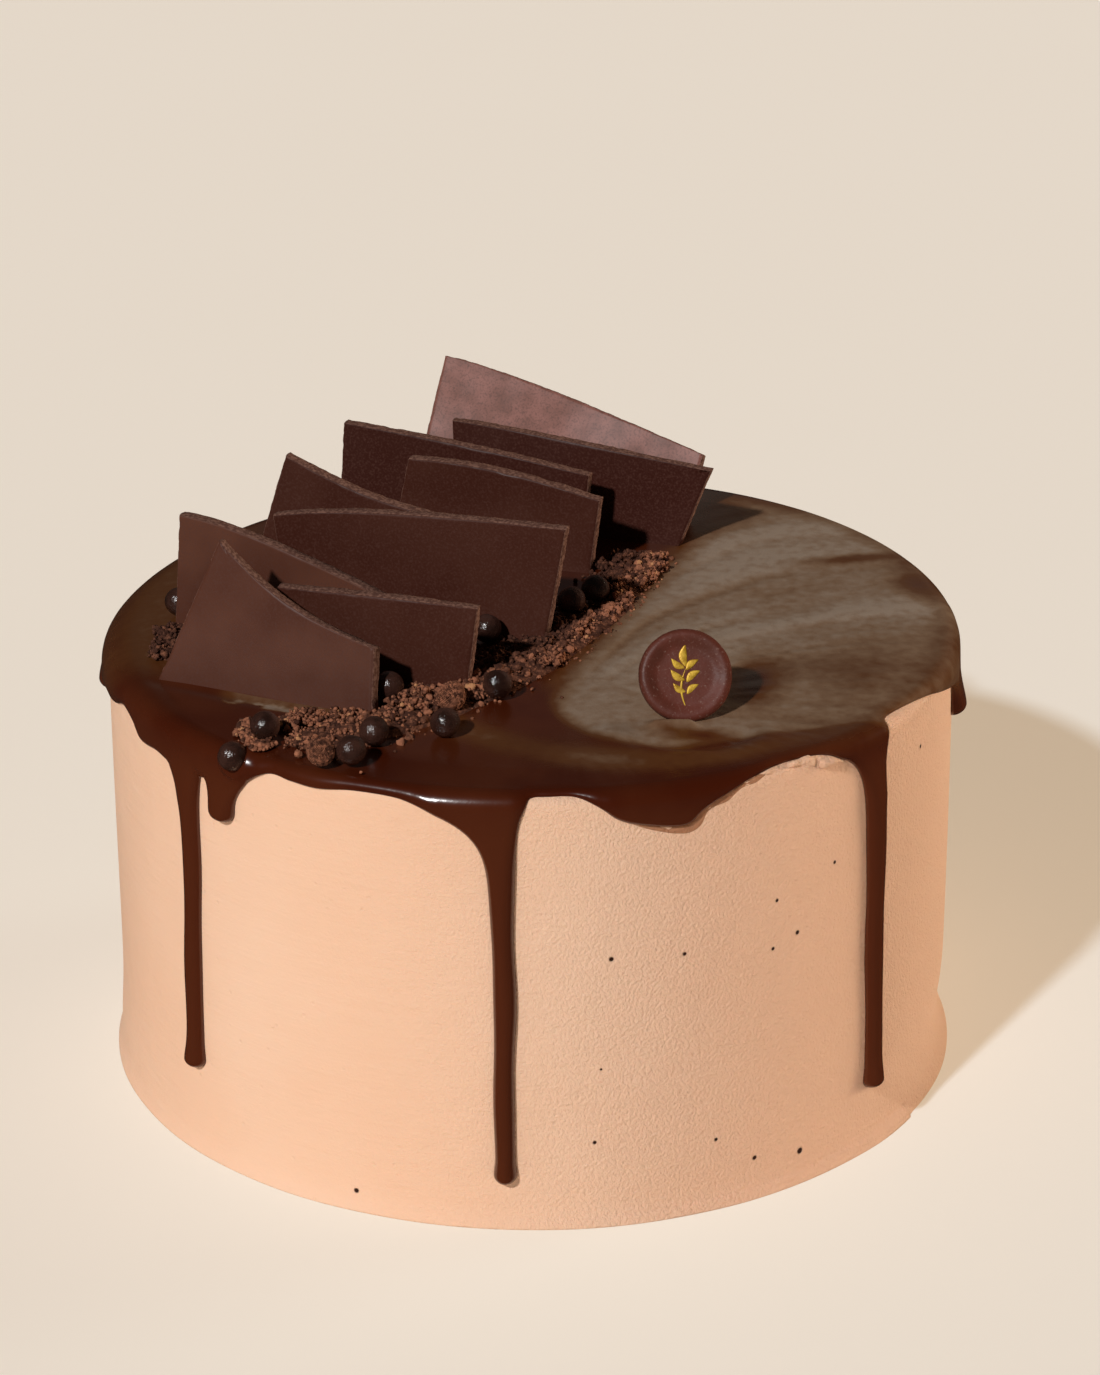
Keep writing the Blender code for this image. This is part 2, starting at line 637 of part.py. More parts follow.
def build_coin(material, collection):
    """A coin with a raised round rim. It leans back, and the glaze hides its foot."""
    bm = bmesh.new()
    profile = [bm.verts.new((r * MM, 0.0, z * MM)) for r, z in coin_profile()]
    edges = [bm.edges.new(pair) for pair in zip(profile, profile[1:])]
    bmesh.ops.spin(
        bm,
        geom=profile + edges,
        cent=(0, 0, 0),
        axis=(0, 0, 1),
        angle=2 * math.pi,
        steps=COIN_STEPS,
        use_merge=True,
    )
    bmesh.ops.remove_doubles(bm, verts=bm.verts, dist=1e-6)
    bmesh.ops.recalc_face_normals(bm, faces=bm.faces)
    rise = (COIN_RADIUS - GAP) * MM
    stand = plate_matrix(COIN_FOOT, COIN_TURN, COIN_LEAN)
    bm.transform(stand @ Matrix.Translation((0.0, rise, 0.0)))
    cut_flat(bm, (0.0, 0.0, (GLAZE_TOP + GAP) * MM))
    return add_object("chocolate_coin", mesh_from_bmesh("chocolate_coin", bm), material, collection)


# ---------------------------------------------------------------------------------------
# Cookie crumbs
# ---------------------------------------------------------------------------------------

# The bank follows the feet of the shards: stations are (x, y, half width, height).
BANK_PATH = [
    (-44.5, -59.5, 5.0, 2.6),
    (-35.5, -59.5, 7.0, 4.0),
    (-27.0, -53.0, 6.5, 4.2),
    (-18.0, -45.5, 6.5, 4.6),
    (-7.0, -33.0, 6.0, 3.8),
    (1.5, -22.5, 5.5, 3.4),
    (9.0, -10.0, 4.6, 3.2),
    (15.0, 1.5, 4.2, 2.8),
    (17.0, 12.0, 4.5, 3.0),
    (21.0, 23.0, 5.5, 3.2),
    (25.5, 31.5, 4.0, 2.6),
]
SIDE_PATH = [(-69.5, -21.5, 2.6, 2.2), (-67.5, -15.0, 3.8, 3.2), (-70.0, -8.5, 2.4, 2.6)]
BANK_CRUMBS = 62
SIDE_CRUMBS = 8
LARGE_CRUMB = 2.7  # radius
SMALL_CRUMB = 1.3
LUMP_STEP = 4.6
GOLDEN = 0.618034  # share of the path between one crumb and the next


def path_point(path, share):
    """Station on a path of straight runs at a share of its length."""
    stations = np.array(path, float)
    runs = np.hypot(*np.diff(stations[:, :2], axis=0).T)
    at = np.concatenate([[0.0], np.cumsum(runs)])
    return [float(np.interp(share * at[-1], at, stations[:, k])) for k in range(4)]


def add_lump(name, path, share, collection):
    """One flat lump of the bare mound, as wide and high as the bank is there."""
    x, y, half, height = path_point(path, share)
    bm = bmesh.new()
    bmesh.ops.create_uvsphere(bm, u_segments=8, v_segments=4, radius=MM)
    shape = Matrix.Diagonal((half * 0.86, half * 0.8, height * 0.8, 1.0))
    turned = Matrix.Rotation(20.0 * share, 4, "Z") @ shape
    place = Matrix.Translation((x * MM, y * MM, (GLAZE_TOP + 0.2) * MM))
    bm.transform(place @ turned)
    return add_object(name, mesh_from_bmesh(name, bm), None, collection, smooth=False)


def add_crumb(name, path, share, size, draw, collection):
    """One crumb on the mound, at random across it."""
    x, y, half, height = path_point(path, share)
    ahead = path_point(path, min(share + 0.02, 1.0))
    behind = path_point(path, max(share - 0.02, 0.0))
    heading = math.atan2(ahead[1] - behind[1], ahead[0] - behind[0])
    across = draw.uniform(-1.0, 1.0)
    rise = height * 0.8 * math.sqrt(1 - 0.86 * across**2) + 0.2 - 0.25 * size
    centre = (
        (x - math.sin(heading) * across * half) * MM,
        (y + math.cos(heading) * across * half) * MM,
        (GLAZE_TOP + rise) * MM,
    )
    bm = bmesh.new()
    lumpy_ball(bm, centre, size * draw.uniform(0.85, 1.15) * MM, draw)
    return add_object(name, mesh_from_bmesh(name, bm), None, collection, smooth=False)


def grown_copy(obj, by, collection):
    """The object pushed out by a clearance on every side, as a cutter."""
    bm = bmesh.new()
    bm.from_mesh(obj.data)
    moves = [vert.normal * vert.calc_shell_factor() * by for vert in bm.verts]
    for vert, move in zip(bm.verts, moves):
        vert.co += move
    name = f"{obj.name}_cutter"
    return add_object(name, mesh_from_bmesh(name, bm), None, collection, smooth=False)


def build_crumbs(name, path, count, neighbours, material, collection):
    """Joins mound and crumbs, levels the foot and clears the pieces that stand in it."""
    draw = random.Random(name)
    loose = new_collection(f"{name}_loose")
    loose.hide_render = True
    runs = np.diff(np.array(path)[:, :2], axis=0)
    lumps = round(np.hypot(*runs.T).sum() / LUMP_STEP) + 1
    for k in range(1, lumps):
        add_lump(f"lump_{k}", path, k / (lumps - 1), loose)
    for k in range(count):
        size = LARGE_CRUMB + (SMALL_CRUMB - LARGE_CRUMB) * k / count
        add_crumb(f"crumb_{k}", path, (k * GOLDEN) % 1.0, size, draw, loose)
    bank = add_lump(name, path, 0.0, collection)
    boolean(bank, "UNION", loose)
    remove_collection(loose)

    bm = bmesh.new()
    bm.from_mesh(bank.data)
    cut_flat(bm, (0.0, 0.0, (GLAZE_TOP + GAP) * MM))
    bm.to_mesh(bank.data)
    bm.free()

    cutters = new_collection(f"{name}_cutters")
    cutters.hide_render = True
    for neighbour in neighbours:
        grown_copy(neighbour, GAP * MM, cutters)
    boolean(bank, "DIFFERENCE", cutters)
    remove_collection(cutters)
    keep_largest_body(bank)
    bank.data.materials.clear()
    bank.data.materials.append(material)
    return bank


def main():
    clear_scene()
    cake = new_collection("ice_cream_cake")
    build_cake_body(cake)
    build_glaze(cake)
    dark = principled("dark_chocolate", CHOCOLATE, 0.45)
    standing = [build_shard(name, spec, dark, cake) for name, spec in SHARDS.items()]
    gloss = principled("pearl_chocolate", CHOCOLATE, 0.2)
    standing += [build_pearl(name, place, gloss, cake) for name, place in PEARLS.items()]
    build_sunk_pearl("pearl_rim", gloss, cake)
    cookie = principled("cookie_crumb", (0.10, 0.05, 0.03), 0.9)
    standing += [build_coated_ball(*item, cookie, cake) for item in COATED_BALLS.items()]
    build_coin(principled("coin_chocolate", (0.10, 0.03, 0.02), 0.4), cake)
    build_crumbs("crumb_bank", BANK_PATH, BANK_CRUMBS, standing, cookie, cake)
    build_crumbs("crumb_patch_left", SIDE_PATH, SIDE_CRUMBS, standing, cookie, cake)


main()
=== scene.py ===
"""Ice cream cake, dressed for its picture.

A round cake in peach frosting under a dark chocolate glaze that runs down its side. Thin
chocolate shards stand in a row across the top, with a bank of cookie crumbs and crisp pearls
along their feet, and a chocolate coin with a gold leaf sprig stands to the right of them.
Sizes are in millimetres and angles in degrees from +X; meshes are written in metres.
"""

import math

import bmesh
import bpy
import numpy as np
from mathutils import Matrix, Vector
from mathutils.geometry import delaunay_2d_cdt


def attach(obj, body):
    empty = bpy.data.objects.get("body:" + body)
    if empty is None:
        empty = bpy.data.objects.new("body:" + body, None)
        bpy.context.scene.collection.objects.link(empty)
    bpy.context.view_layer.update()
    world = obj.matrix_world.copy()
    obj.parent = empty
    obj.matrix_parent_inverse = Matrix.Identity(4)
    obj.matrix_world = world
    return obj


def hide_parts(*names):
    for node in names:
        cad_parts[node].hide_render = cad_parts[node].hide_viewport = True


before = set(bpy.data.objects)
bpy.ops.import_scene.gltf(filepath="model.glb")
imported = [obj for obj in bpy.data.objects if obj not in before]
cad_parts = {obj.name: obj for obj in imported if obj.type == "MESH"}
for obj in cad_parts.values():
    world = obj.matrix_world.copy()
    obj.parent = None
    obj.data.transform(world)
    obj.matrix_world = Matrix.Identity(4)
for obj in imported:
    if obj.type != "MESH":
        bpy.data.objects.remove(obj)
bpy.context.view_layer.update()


# ---------------------------------------------------------------------------------------
# Frosted body
# ---------------------------------------------------------------------------------------
# The cake is covered in peach whipped frosting, smoothed with a long spatula held upright.
# The blade leaves a fine grain, a few burst air bubbles and a low ledge at the foot, where it
# pushed the spare frosting down. The top edge is crisp in front and softer at the left back.

MM = 0.001
CAKE_RADIUS = 82.0
CAKE_TOP = 87.2
CRISP_ROUND = 2.4  # rounding of the top edge in front
SOFT_ROUND = 7.2  # and at the left back
SOFT_ANGLE = 135.0  # where it is softest
ROUND_ZONE = 8.0  # width, over the top and down the side, that the rounding may take
FOOT_FLARE = 1.1  # how far the frosting spreads at the foot
FOOT_HEIGHT = 5.0
LEDGE_TOP = 2.4  # height of the ledge that the blade left at the foot
LEDGE_STEP = 0.5  # and how far it stands out
LEDGE_START, LEDGE_END = -99.0, -28.5
SIDE_START = CAKE_RADIUS - CRISP_ROUND + CRISP_ROUND * math.pi / 2
# Slow swells of the side: angle, half width in degrees, height, half height, how far out.
SIDE_SWELLS = [
    (-6.0, 22.0, 10.0, 6.0, -0.85),
    (-8.0, 26.0, 1.0, 5.0, 0.6),
    (-172.0, 30.0, 4.0, 9.0, 0.75),
    (-70.0, 34.0, 44.0, 20.0, 0.16),
    (-118.0, 26.0, 60.0, 16.0, -0.14),
    (-33.0, 14.0, 62.0, 22.0, -0.2),
    (40.0, 30.0, 30.0, 20.0, 0.2),
    (95.0, 28.0, 52.0, 22.0, -0.2),
    (150.0, 24.0, 18.0, 14.0, 0.2),
]


def reach_of(height):
    """Distance from the middle, over the top and down the front, at which a height lies."""
    return SIDE_START + CAKE_TOP - CRISP_ROUND - height


def lattice_draw(corner, seed):
    """A fixed random number from -1 to 1 for each corner of a lattice, by mixing its digits."""
    mixed = corner[..., 0] * 73856093 ^ corner[..., 1] * 19349663 ^ corner[..., 2] * 83492791
    mixed = (mixed ^ seed * 2654435761) & 0xFFFFFFFF
    mixed = ((mixed ^ mixed >> 15) * 2246822519) & 0xFFFFFFFF
    mixed = ((mixed ^ mixed >> 13) * 3266489917) & 0xFFFFFFFF
    return ((mixed ^ mixed >> 16) & 0xFFFF) / 32767.5 - 1.0


def uneven(points, size, seed):
    """Smooth random swell from -1 to 1: draws at the corners of a lattice of this size,
    blended between them by the smooth step 3t^2 - 2t^3."""
    places = np.asarray(points, float) / size
    corner = np.floor(places).astype(np.int64)
    share = places - corner
    share = share * share * (3 - 2 * share)
    swell = np.zeros(places.shape[:-1])
    for step in np.ndindex(2, 2, 2):
        weight = np.where(step, share, 1 - share).prod(axis=-1)
        swell += weight * lattice_draw(corner + np.array(step), seed)
    return swell


def uneven_plan(x, y, size, seed):
    """The same swell over the plan, the same at every height."""
    return uneven(np.stack([x, y, 0 * x], axis=-1), size, seed)


def frosting_surface(reach, angle):
    """Points and outward directions of the smoothed frosting for reaches and angles.
    The section is flat, a quarter round and upright; its length from the start of the
    rounding zone to its end is shared out evenly, so a softer edge shifts nothing else."""
    soft = np.clip(np.cos(angle - math.radians(SOFT_ANGLE)), 0.0, 1.0) ** 1.5
    bend = CRISP_ROUND + (SOFT_ROUND - CRISP_ROUND) * soft
    start = CAKE_RADIUS - ROUND_ZONE
    length = 2 * (ROUND_ZONE - bend) + bend * math.pi / 2
    zone = 2 * (ROUND_ZONE - CRISP_ROUND) + CRISP_ROUND * math.pi / 2
    way = np.clip((reach - start) / zone, 0.0, 1.0) * length
    flat = ROUND_ZONE - bend
    turn = np.clip((way - flat) / bend, 0.0, math.pi / 2)
    radius = np.minimum(reach, start) + np.minimum(way, flat) + bend * np.sin(turn)
    drop = bend * (1 - np.cos(turn)) + np.maximum(way - length + flat, 0.0)
    drop = drop + np.maximum(reach - start - zone, 0.0)
    height = CAKE_TOP - drop
    outwards = np.sin(turn)
    swell = np.zeros_like(height)
    for at, wide, up, tall, out in SIDE_SWELLS:
        aside = np.degrees(np.angle(np.exp(1j * (angle - math.radians(at))))) / wide
        swell += out * np.exp(-(aside**2) - ((height - up) / tall) ** 2)
    swell += 0.07 * np.sin(7 * angle + 0.045 * height) + 0.05 * np.sin(17 * angle - 0.07 * height)
    radius = radius + swell * outwards**4
    point = np.stack([radius * np.cos(angle), radius * np.sin(angle), height], axis=-1)
    away = np.stack([outwards * np.cos(angle), outwards * np.sin(angle), np.cos(turn)], axis=-1)
    return point, away


def blade_marks(angle, height):
    """What the spatula left near the foot, as a distance outwards: a flare that grows with
    the square of the depth, and a ledge with a round lip between two angles."""
    flare = FOOT_FLARE * np.clip(1 - height / FOOT_HEIGHT, 0.0, 1.0) ** 2
    turn = np.degrees(np.angle(np.exp(1j * angle)))
    share = np.clip((turn - LEDGE_START) / (LEDGE_END - LEDGE_START), 0.0, 1.0)
    top = LEDGE_TOP * (0.55 + 0.45 * share) + 0.25 * np.sin(angle * 31) * share
    lip = np.sqrt(np.clip(1 - np.clip((height - top + 0.8) / 0.8, 0.0, 1.0) ** 2, 0.0, 1.0))
    fade = np.clip((turn - LEDGE_START) / 14.0, 0.0, 1.0) * np.clip((LEDGE_END - turn) / 0.8, 0, 1)
    lines = 0.12 * np.sin(height * 5.2 + 2.0 * np.sin(angle * 9)) * np.exp(-height / 5.0) * share
    return flare + (LEDGE_STEP * (0.6 + 0.4 * share) * lip + lines) * fade


def grid_faces(rows, columns, first=0):
    """Quads of a grid whose columns run all the way round, facing the reader when rows run
    down and columns to the left, as lists of corner numbers."""
    number = first + np.arange(rows * columns).reshape(rows, columns)
    right = np.roll(number, -1, axis=1)
    return np.stack([number[:-1], number[1:], right[1:], right[:-1]], axis=-1).reshape(-1, 4)


def turned_faces(rows, columns, first=0):
    """A grid closed at both ends: the first and last rows meet in the two points that follow
    the grid's own."""
    quads = grid_faces(rows, columns, first)
    count = rows * columns
    ring = first + np.arange(columns)
    after = np.roll(ring, -1)
    low = ring + (rows - 1) * columns
    low_after = np.roll(low, -1)
    caps = [
        np.stack([np.full(columns, first + count), ring, after], axis=-1),
        np.stack([np.full(columns, first + count + 1), low_after, low], axis=-1),
    ]
    return [quads, *caps]


def mesh_of(name, points, faces):
    """A mesh from points in millimetres and arrays of faces, each array with its own number of
    corners."""
    sizes = np.concatenate([np.full(len(part), part.shape[1]) for part in faces])
    corners = np.concatenate([np.asarray(part).reshape(-1) for part in faces])
    mesh = bpy.data.meshes.new(name)
    mesh.vertices.add(len(points))
    mesh.vertices.foreach_set("co", (np.asarray(points, float) * MM).reshape(-1))
    mesh.loops.add(len(corners))
    mesh.loops.foreach_set("vertex_index", corners.astype(np.int32))
    mesh.polygons.add(len(sizes))
    starts = np.concatenate([[0], np.cumsum(sizes)[:-1]])
    mesh.polygons.foreach_set("loop_start", starts.astype(np.int32))
    mesh.polygons.foreach_set("use_smooth", np.full(len(sizes), True))
    mesh.update(calc_edges=True)
    mesh.validate()
    return mesh


def joined(shapes):
    """Several (points, lists of faces) as one, with the corner numbers moved on."""
    faces, first = [], 0
    for points, parts in shapes:
        faces += [part + first for part in parts]
        first += len(points)
    return np.concatenate([points for points, _ in shapes]), faces


def place_piece(mesh, material, slot, *nodes):
    """Puts a finished mesh in the scene: it rides on the cake and stands for CAD nodes."""
    piece = bpy.data.objects.new(mesh.name, mesh)
    bpy.context.scene.collection.objects.link(piece)
    mesh.materials.append(material)
    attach(piece, "root")
    if nodes:
        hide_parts(*nodes)
    return piece


def node_in(tree, kind, inputs=None, **settings):
    """Adds a shader node, sets it up, and links or sets its inputs by name or number."""
    node = tree.nodes.new("ShaderNode" + kind)
    for key, value in settings.items():
        setattr(node, key, value)
    for key, value in (inputs or {}).items():
        if isinstance(value, bpy.types.NodeSocket):
            tree.links.new(value, node.inputs[key])
        else:
            node.inputs[key].default_value = value
    return node


def math_in(tree, operation, *values):
    """The result of one Math node."""
    inputs = dict(enumerate(values))
    return node_in(tree, "Math", inputs, operation=operation).outputs[0]


def blend_in(tree, share, low, high):
    """One colour mixed into another by a share."""
    inputs = {0: share, 6: low, 7: high}
    return node_in(tree, "Mix", inputs, data_type="RGBA").outputs[2]


def span_in(tree, value, low, high, to_low=0.0, to_high=1.0):
    """A value's place between two limits, as a share, eased at both ends."""
    inputs = {0: value, 1: low, 2: high, 3: to_low, 4: to_high}
    return node_in(tree, "MapRange", inputs, interpolation_type="SMOOTHSTEP").outputs[0]


def effect_group(name, inputs, output):
    """An empty node group for an effect that several finishes share."""
    group = bpy.data.node_groups.new(name, "ShaderNodeTree")
    for label, kind, value in inputs:
        socket = group.interface.new_socket(label, in_out="INPUT", socket_type=kind)
        if value is not None:
            socket.default_value = value
    group.interface.new_socket(output, in_out="OUTPUT", socket_type="NodeSocketFloat")
    return group, group.nodes.new("NodeGroupInput"), group.nodes.new("NodeGroupOutput")


def fine_grain_group():
    """Height of a fine grain: coarse noise, with a share of noise three times finer."""
    inputs = [
        ("Vector", "NodeSocketVector", None),
        ("Scale", "NodeSocketFloat", 900.0),
        ("Fine share", "NodeSocketFloat", 0.4),
    ]
    group, given, result = effect_group("fine_grain", inputs, "Height")
    coarse = node_in(group, "TexNoise", {"Vector": given.outputs[0], "Scale": given.outputs[1]})
    coarse.inputs["Detail"].default_value = 2.0
    triple = math_in(group, "MULTIPLY", given.outputs[1], 3.1)
    fine = node_in(group, "TexNoise", {"Vector": given.outputs[0], "Scale": triple})
    part = math_in(group, "MULTIPLY", fine.outputs[0], given.outputs[2])
    group.links.new(math_in(group, "ADD", coarse.outputs[0], part), result.inputs[0])
    return group


def drift_group():
    """A slow drift from 0 to 1 over a surface, for tone and gloss that aren't quite even."""
    inputs = [
        ("Vector", "NodeSocketVector", None),
        ("Scale", "NodeSocketFloat", 30.0),
        ("Low", "NodeSocketFloat", 0.35),
        ("High", "NodeSocketFloat", 0.65),
    ]
    group, given, result = effect_group("slow_drift", inputs, "Share")
    noise = node_in(group, "TexNoise", {"Vector": given.outputs[0], "Scale": given.outputs[1]})
    noise.inputs["Detail"].default_value = 3.0
    share = span_in(group, noise.outputs[0], given.outputs[2], given.outputs[3])
    group.links.new(share, result.inputs[0])
    return group


FINE_GRAIN = fine_grain_group()
SLOW_DRIFT = drift_group()


def effect_in(tree, group, **inputs):
    """Places a shared effect in a finish, with its own values, and gives its result."""
    node = tree.nodes.new("ShaderNodeGroup")
    node.node_tree = group
    for key, value in inputs.items():
        socket = node.inputs[key.replace("_", " ").capitalize()]
        if isinstance(value, bpy.types.NodeSocket):
            tree.links.new(value, socket)
        else:
            socket.default_value = value
    return node.outputs[0]


def new_finish(name, **constants):
    """A material with one Principled shader; constants go straight onto its own sockets."""
    material = bpy.data.materials.new(name)
    material.use_nodes = True
    tree = material.node_tree
    shader = tree.nodes["Principled BSDF"]
    for key, value in constants.items():
        shader.inputs[key.replace("_", " ")].default_value = value
    coords = tree.nodes.new("ShaderNodeTexCoord").outputs["Object"]
    return material, tree, shader, coords


def raise_surface(tree, shader, height, depth):
    """Bump from a height, with the depth in millimetres that a height of 1 stands for."""
    bump = node_in(tree, "Bump", {"Height": height, "Distance": depth * MM, "Strength": 1.0})
    tree.links.new(bump.outputs[0], shader.inputs["Normal"])


def add_measure(mesh, name, values):
    """Keeps a number for each point, for the finish to read."""
    values = np.asarray(values, np.float32)
    mesh.attributes.new(name, "FLOAT", "POINT").data.foreach_set("value", values)


def measure_in(tree, name):
    """A number kept for each point, as a finish reads it."""
    return node_in(tree, "Attribute", attribute_name=name).outputs["Fac"]


FROSTING_LIGHT = (0.925, 0.610, 0.430, 1.0)
FROSTING_DEEP = (0.905, 0.565, 0.380, 1.0)
GLAZE_STAIN = (0.420, 0.170, 0.075, 1.0)
# Painted warm shade for the right side, which the lamp misses.
FROSTING_SHADE = (0.915, 0.530, 0.345, 1.0)
# Painted shade inside the burst bubbles.
BUBBLE_PAINTED_SHADE = (0.045, 0.011, 0.004, 1.0)
# Burst bubbles on the side: angle, height and radius.
BUBBLES = [
    (-79.8, 54.6, 0.50),
    (-70.2, 53.9, 0.42),
    (-57.4, 50.8, 0.42),
    (-53.5, 52.5, 0.50),
    (-56.9, 60.4, 0.40),
    (-47.1, 63.9, 0.42),
    (-26.9, 76.9, 0.42),
    (-81.1, 32.3, 0.26),
    (-81.9, 17.2, 0.40),
    (-65.4, 14.0, 0.40),
    (-59.6, 8.0, 0.52),
    (-52.2, 6.1, 0.75),
    (-113.5, 3.8, 0.52),
    (22.0, 40.0, 0.45),
    (61.0, 58.0, 0.5),
    (97.0, 20.0, 0.4),
    (133.0, 47.0, 0.5),
    (171.0, 62.0, 0.4),
]


def bubble_depth(tree, coords):
    """1 in the middle of each burst bubble and 0 outside it, the nearest bubble winning."""
    deepest = None
    for angle, height, radius in BUBBLES:
        point, _ = frosting_surface(np.array(reach_of(height)), np.array(math.radians(angle)))
        spot = tuple(float(v) for v in point * MM)
        inputs = {0: coords, 1: spot}
        away = node_in(tree, "VectorMath", inputs, operation="DISTANCE").outputs["Value"]
        dent = span_in(tree, away, 0.5 * radius * MM, 1.15 * radius * MM, 1.0, 0.0)
        deepest = dent if deepest is None else math_in(tree, "MAXIMUM", deepest, dent)
    return deepest


def peach_frosting():
    """Peach frosting: slow drift between two tones, painted warm shade towards the right side,
    a fine grain that is rougher on the right, faint upright and level strokes of the blade,
    and burst bubbles whose middles are painted dark as shade."""
    material, tree, shader, coords = new_finish(
        "peach_frosting",
        Roughness=0.6,
        Subsurface_Weight=0.08,
        Subsurface_Radius=(1.0, 0.45, 0.25),
        Subsurface_Scale=0.002,
        Specular_IOR_Level=0.3,
    )
    axes = node_in(tree, "SeparateXYZ", {0: coords}).outputs
    tone = effect_in(tree, SLOW_DRIFT, vector=coords, scale=14.0, low=0.35, high=0.68)
    colour = blend_in(tree, tone, FROSTING_DEEP, FROSTING_LIGHT)
    # Painted warm shade over the right side of the cake.
    shade = span_in(tree, axes[0], 0.0, 0.055, 0.0, 0.9)
    colour = blend_in(tree, shade, colour, FROSTING_SHADE)
    streak_map = node_in(tree, "Mapping", {0: coords, 3: (1.0, 1.0, 9.0)}).outputs[0]
    streaks = effect_in(tree, FINE_GRAIN, vector=streak_map, scale=36.0, fine_share=0.5)
    grain = effect_in(tree, FINE_GRAIN, vector=coords, scale=1700.0, fine_share=0.5)
    swell = node_in(tree, "TexNoise", {"Vector": coords, "Scale": 190.0, "Detail": 3.0}).outputs[0]
    rough_side = span_in(tree, axes[0], -0.05, 0.05, 0.25, 2.2)
    height = math_in(tree, "MULTIPLY", grain, rough_side)
    height = math_in(tree, "MULTIPLY_ADD", streaks, 0.7, height)
    height = math_in(tree, "MULTIPLY_ADD", swell, 0.9, height)
    pores = node_in(tree, "TexVoronoi", {"Vector": coords, "Scale": 330.0}).outputs["Distance"]
    patch = effect_in(tree, SLOW_DRIFT, vector=coords, scale=75.0, low=0.5, high=0.62)
    pit = math_in(tree, "MULTIPLY", span_in(tree, pores, 0.16, 0.06), patch)
    height = math_in(tree, "MULTIPLY_ADD", pit, -0.35, height)
    dents = bubble_depth(tree, coords)
    height = math_in(tree, "MULTIPLY_ADD", dents, -3.5, height)
    # The middle of each bubble is painted dark as the shade inside the pit.
    core = span_in(tree, dents, 0.25, 0.95)
    colour = blend_in(tree, core, colour, BUBBLE_PAINTED_SHADE)
    colour = blend_in(tree, measure_in(tree, "stain"), colour, GLAZE_STAIN)
    tree.links.new(colour, shader.inputs["Base Color"])
    raise_surface(tree, shader, height, 0.24)
    return material


BODY_COLUMNS = 480


def frosted_body():
    """The frosting surface from the middle of the top to the foot, row by row, with the
    blade's marks near the foot and a small round into the flat underside."""
    turns = np.radians(np.arange(BODY_COLUMNS) * 0.75)
    foot = reach_of(0.0)
    hidden = [6.0, 30.0, 52.0, 66.0, 73.0]
    shoulder = np.arange(74.0, 92.0, 0.5)
    side = np.arange(92.0, foot - 6.0, 0.9)
    rows = np.concatenate([hidden, shoulder, side, np.linspace(foot - 6.0, foot, 22)])
    reach, angle = np.meshgrid(rows, turns, indexing="ij")
    point, _ = frosting_surface(reach, angle)
    out = blade_marks(angle, point[..., 2]) * (reach > SIDE_START)
    around = np.stack([np.cos(angle), np.sin(angle), np.zeros_like(angle)], axis=-1)
    point += around * out[..., None]
    under = [point[-1] - around[-1] * inset for inset in (0.5, 6.0)]
    point = np.concatenate([point, np.stack(under)])
    ends = [(0.0, 0.0, CAKE_TOP), (0.0, 0.0, 0.0)]
    return np.concatenate([point.reshape(-1, 3), ends]), turned_faces(len(point), len(turns))


PEACH_FROSTING = peach_frosting()
body = mesh_of("frosted_body", *frosted_body())
add_measure(body, "stain", np.zeros(len(body.vertices)))
place_piece(body, PEACH_FROSTING, "peach_frosting", "cake_body")


# ---------------------------------------------------------------------------------------
# Chocolate glaze
# ---------------------------------------------------------------------------------------
# Dark chocolate glaze, poured warm over the cold cake and drawn off to the right with a
# spatula, so it dried dull with soft ridges there; part of its pale grey-brown there is
# painted sheen. It stayed thick and glossy in front, and ran over the rim into drips that end
# in round beads.

TOP_GLAZE = 1.4  # thickness on the flat top
RIM_GLAZE = 1.5  # and over the rim
DRIP_GLAZE = 2.3  # in a drip
BEAD_GLAZE = 2.9  # in the bead at its end
BEAD_SPREAD = 4.0
EDGE_SINK = 0.15  # by which the very edge lies in the frosting
EDGE_ROUND = 2.3  # from the edge to where the glaze has its full thickness
GLAZE_TOP = CAKE_TOP + TOP_GLAZE
# Shoulders left and right as (angle, height), angles of root and tip, height of the tip, half
# widths of root and tip. The flared root of a drip hangs between its two shoulders.
DRIPS = [
    ((-194.0, 81.0), (-185.6, 80.6), -189.4, -188.7, 26.0, 2.5, 2.1),
    ((-185.2, 80.6), (-176.4, 79.3), -181.0, -180.8, 73.4, 2.9, 2.6),
    ((-144.1, 79.1), (-137.4, 79.6), -139.6, -140.4, 17.8, 2.1, 2.1),
    ((-136.2, 79.6), (-128.5, 82.3), -133.0, -133.1, 72.6, 2.0, 2.0),
    ((-102.0, 83.0), (-90.1, 86.7), -93.5, -93.4, 9.2, 2.5, 1.9),
    ((-45.4, 83.6), (-36.3, 87.3), -39.3, -38.4, 12.2, 2.9, 2.0),
    ((-12.0, 80.6), (-2.0, 81.0), -7.2, -7.0, 71.8, 2.3, 2.2),
    ((14.0, 82.5), (24.5, 83.5), 19.5, 19.0, 45.0, 2.4, 2.1),
    ((48.0, 81.0), (58.5, 82.6), 53.5, 54.5, 14.0, 2.7, 2.2),
    ((81.0, 83.0), (91.0, 82.0), 86.0, 86.5, 61.0, 2.8, 2.5),
    ((110.0, 82.0), (120.5, 83.5), 115.5, 114.8, 24.0, 2.6, 2.1),
    ((144.0, 81.5), (153.0, 80.5), 148.0, 148.5, 67.0, 2.6, 2.4),
]
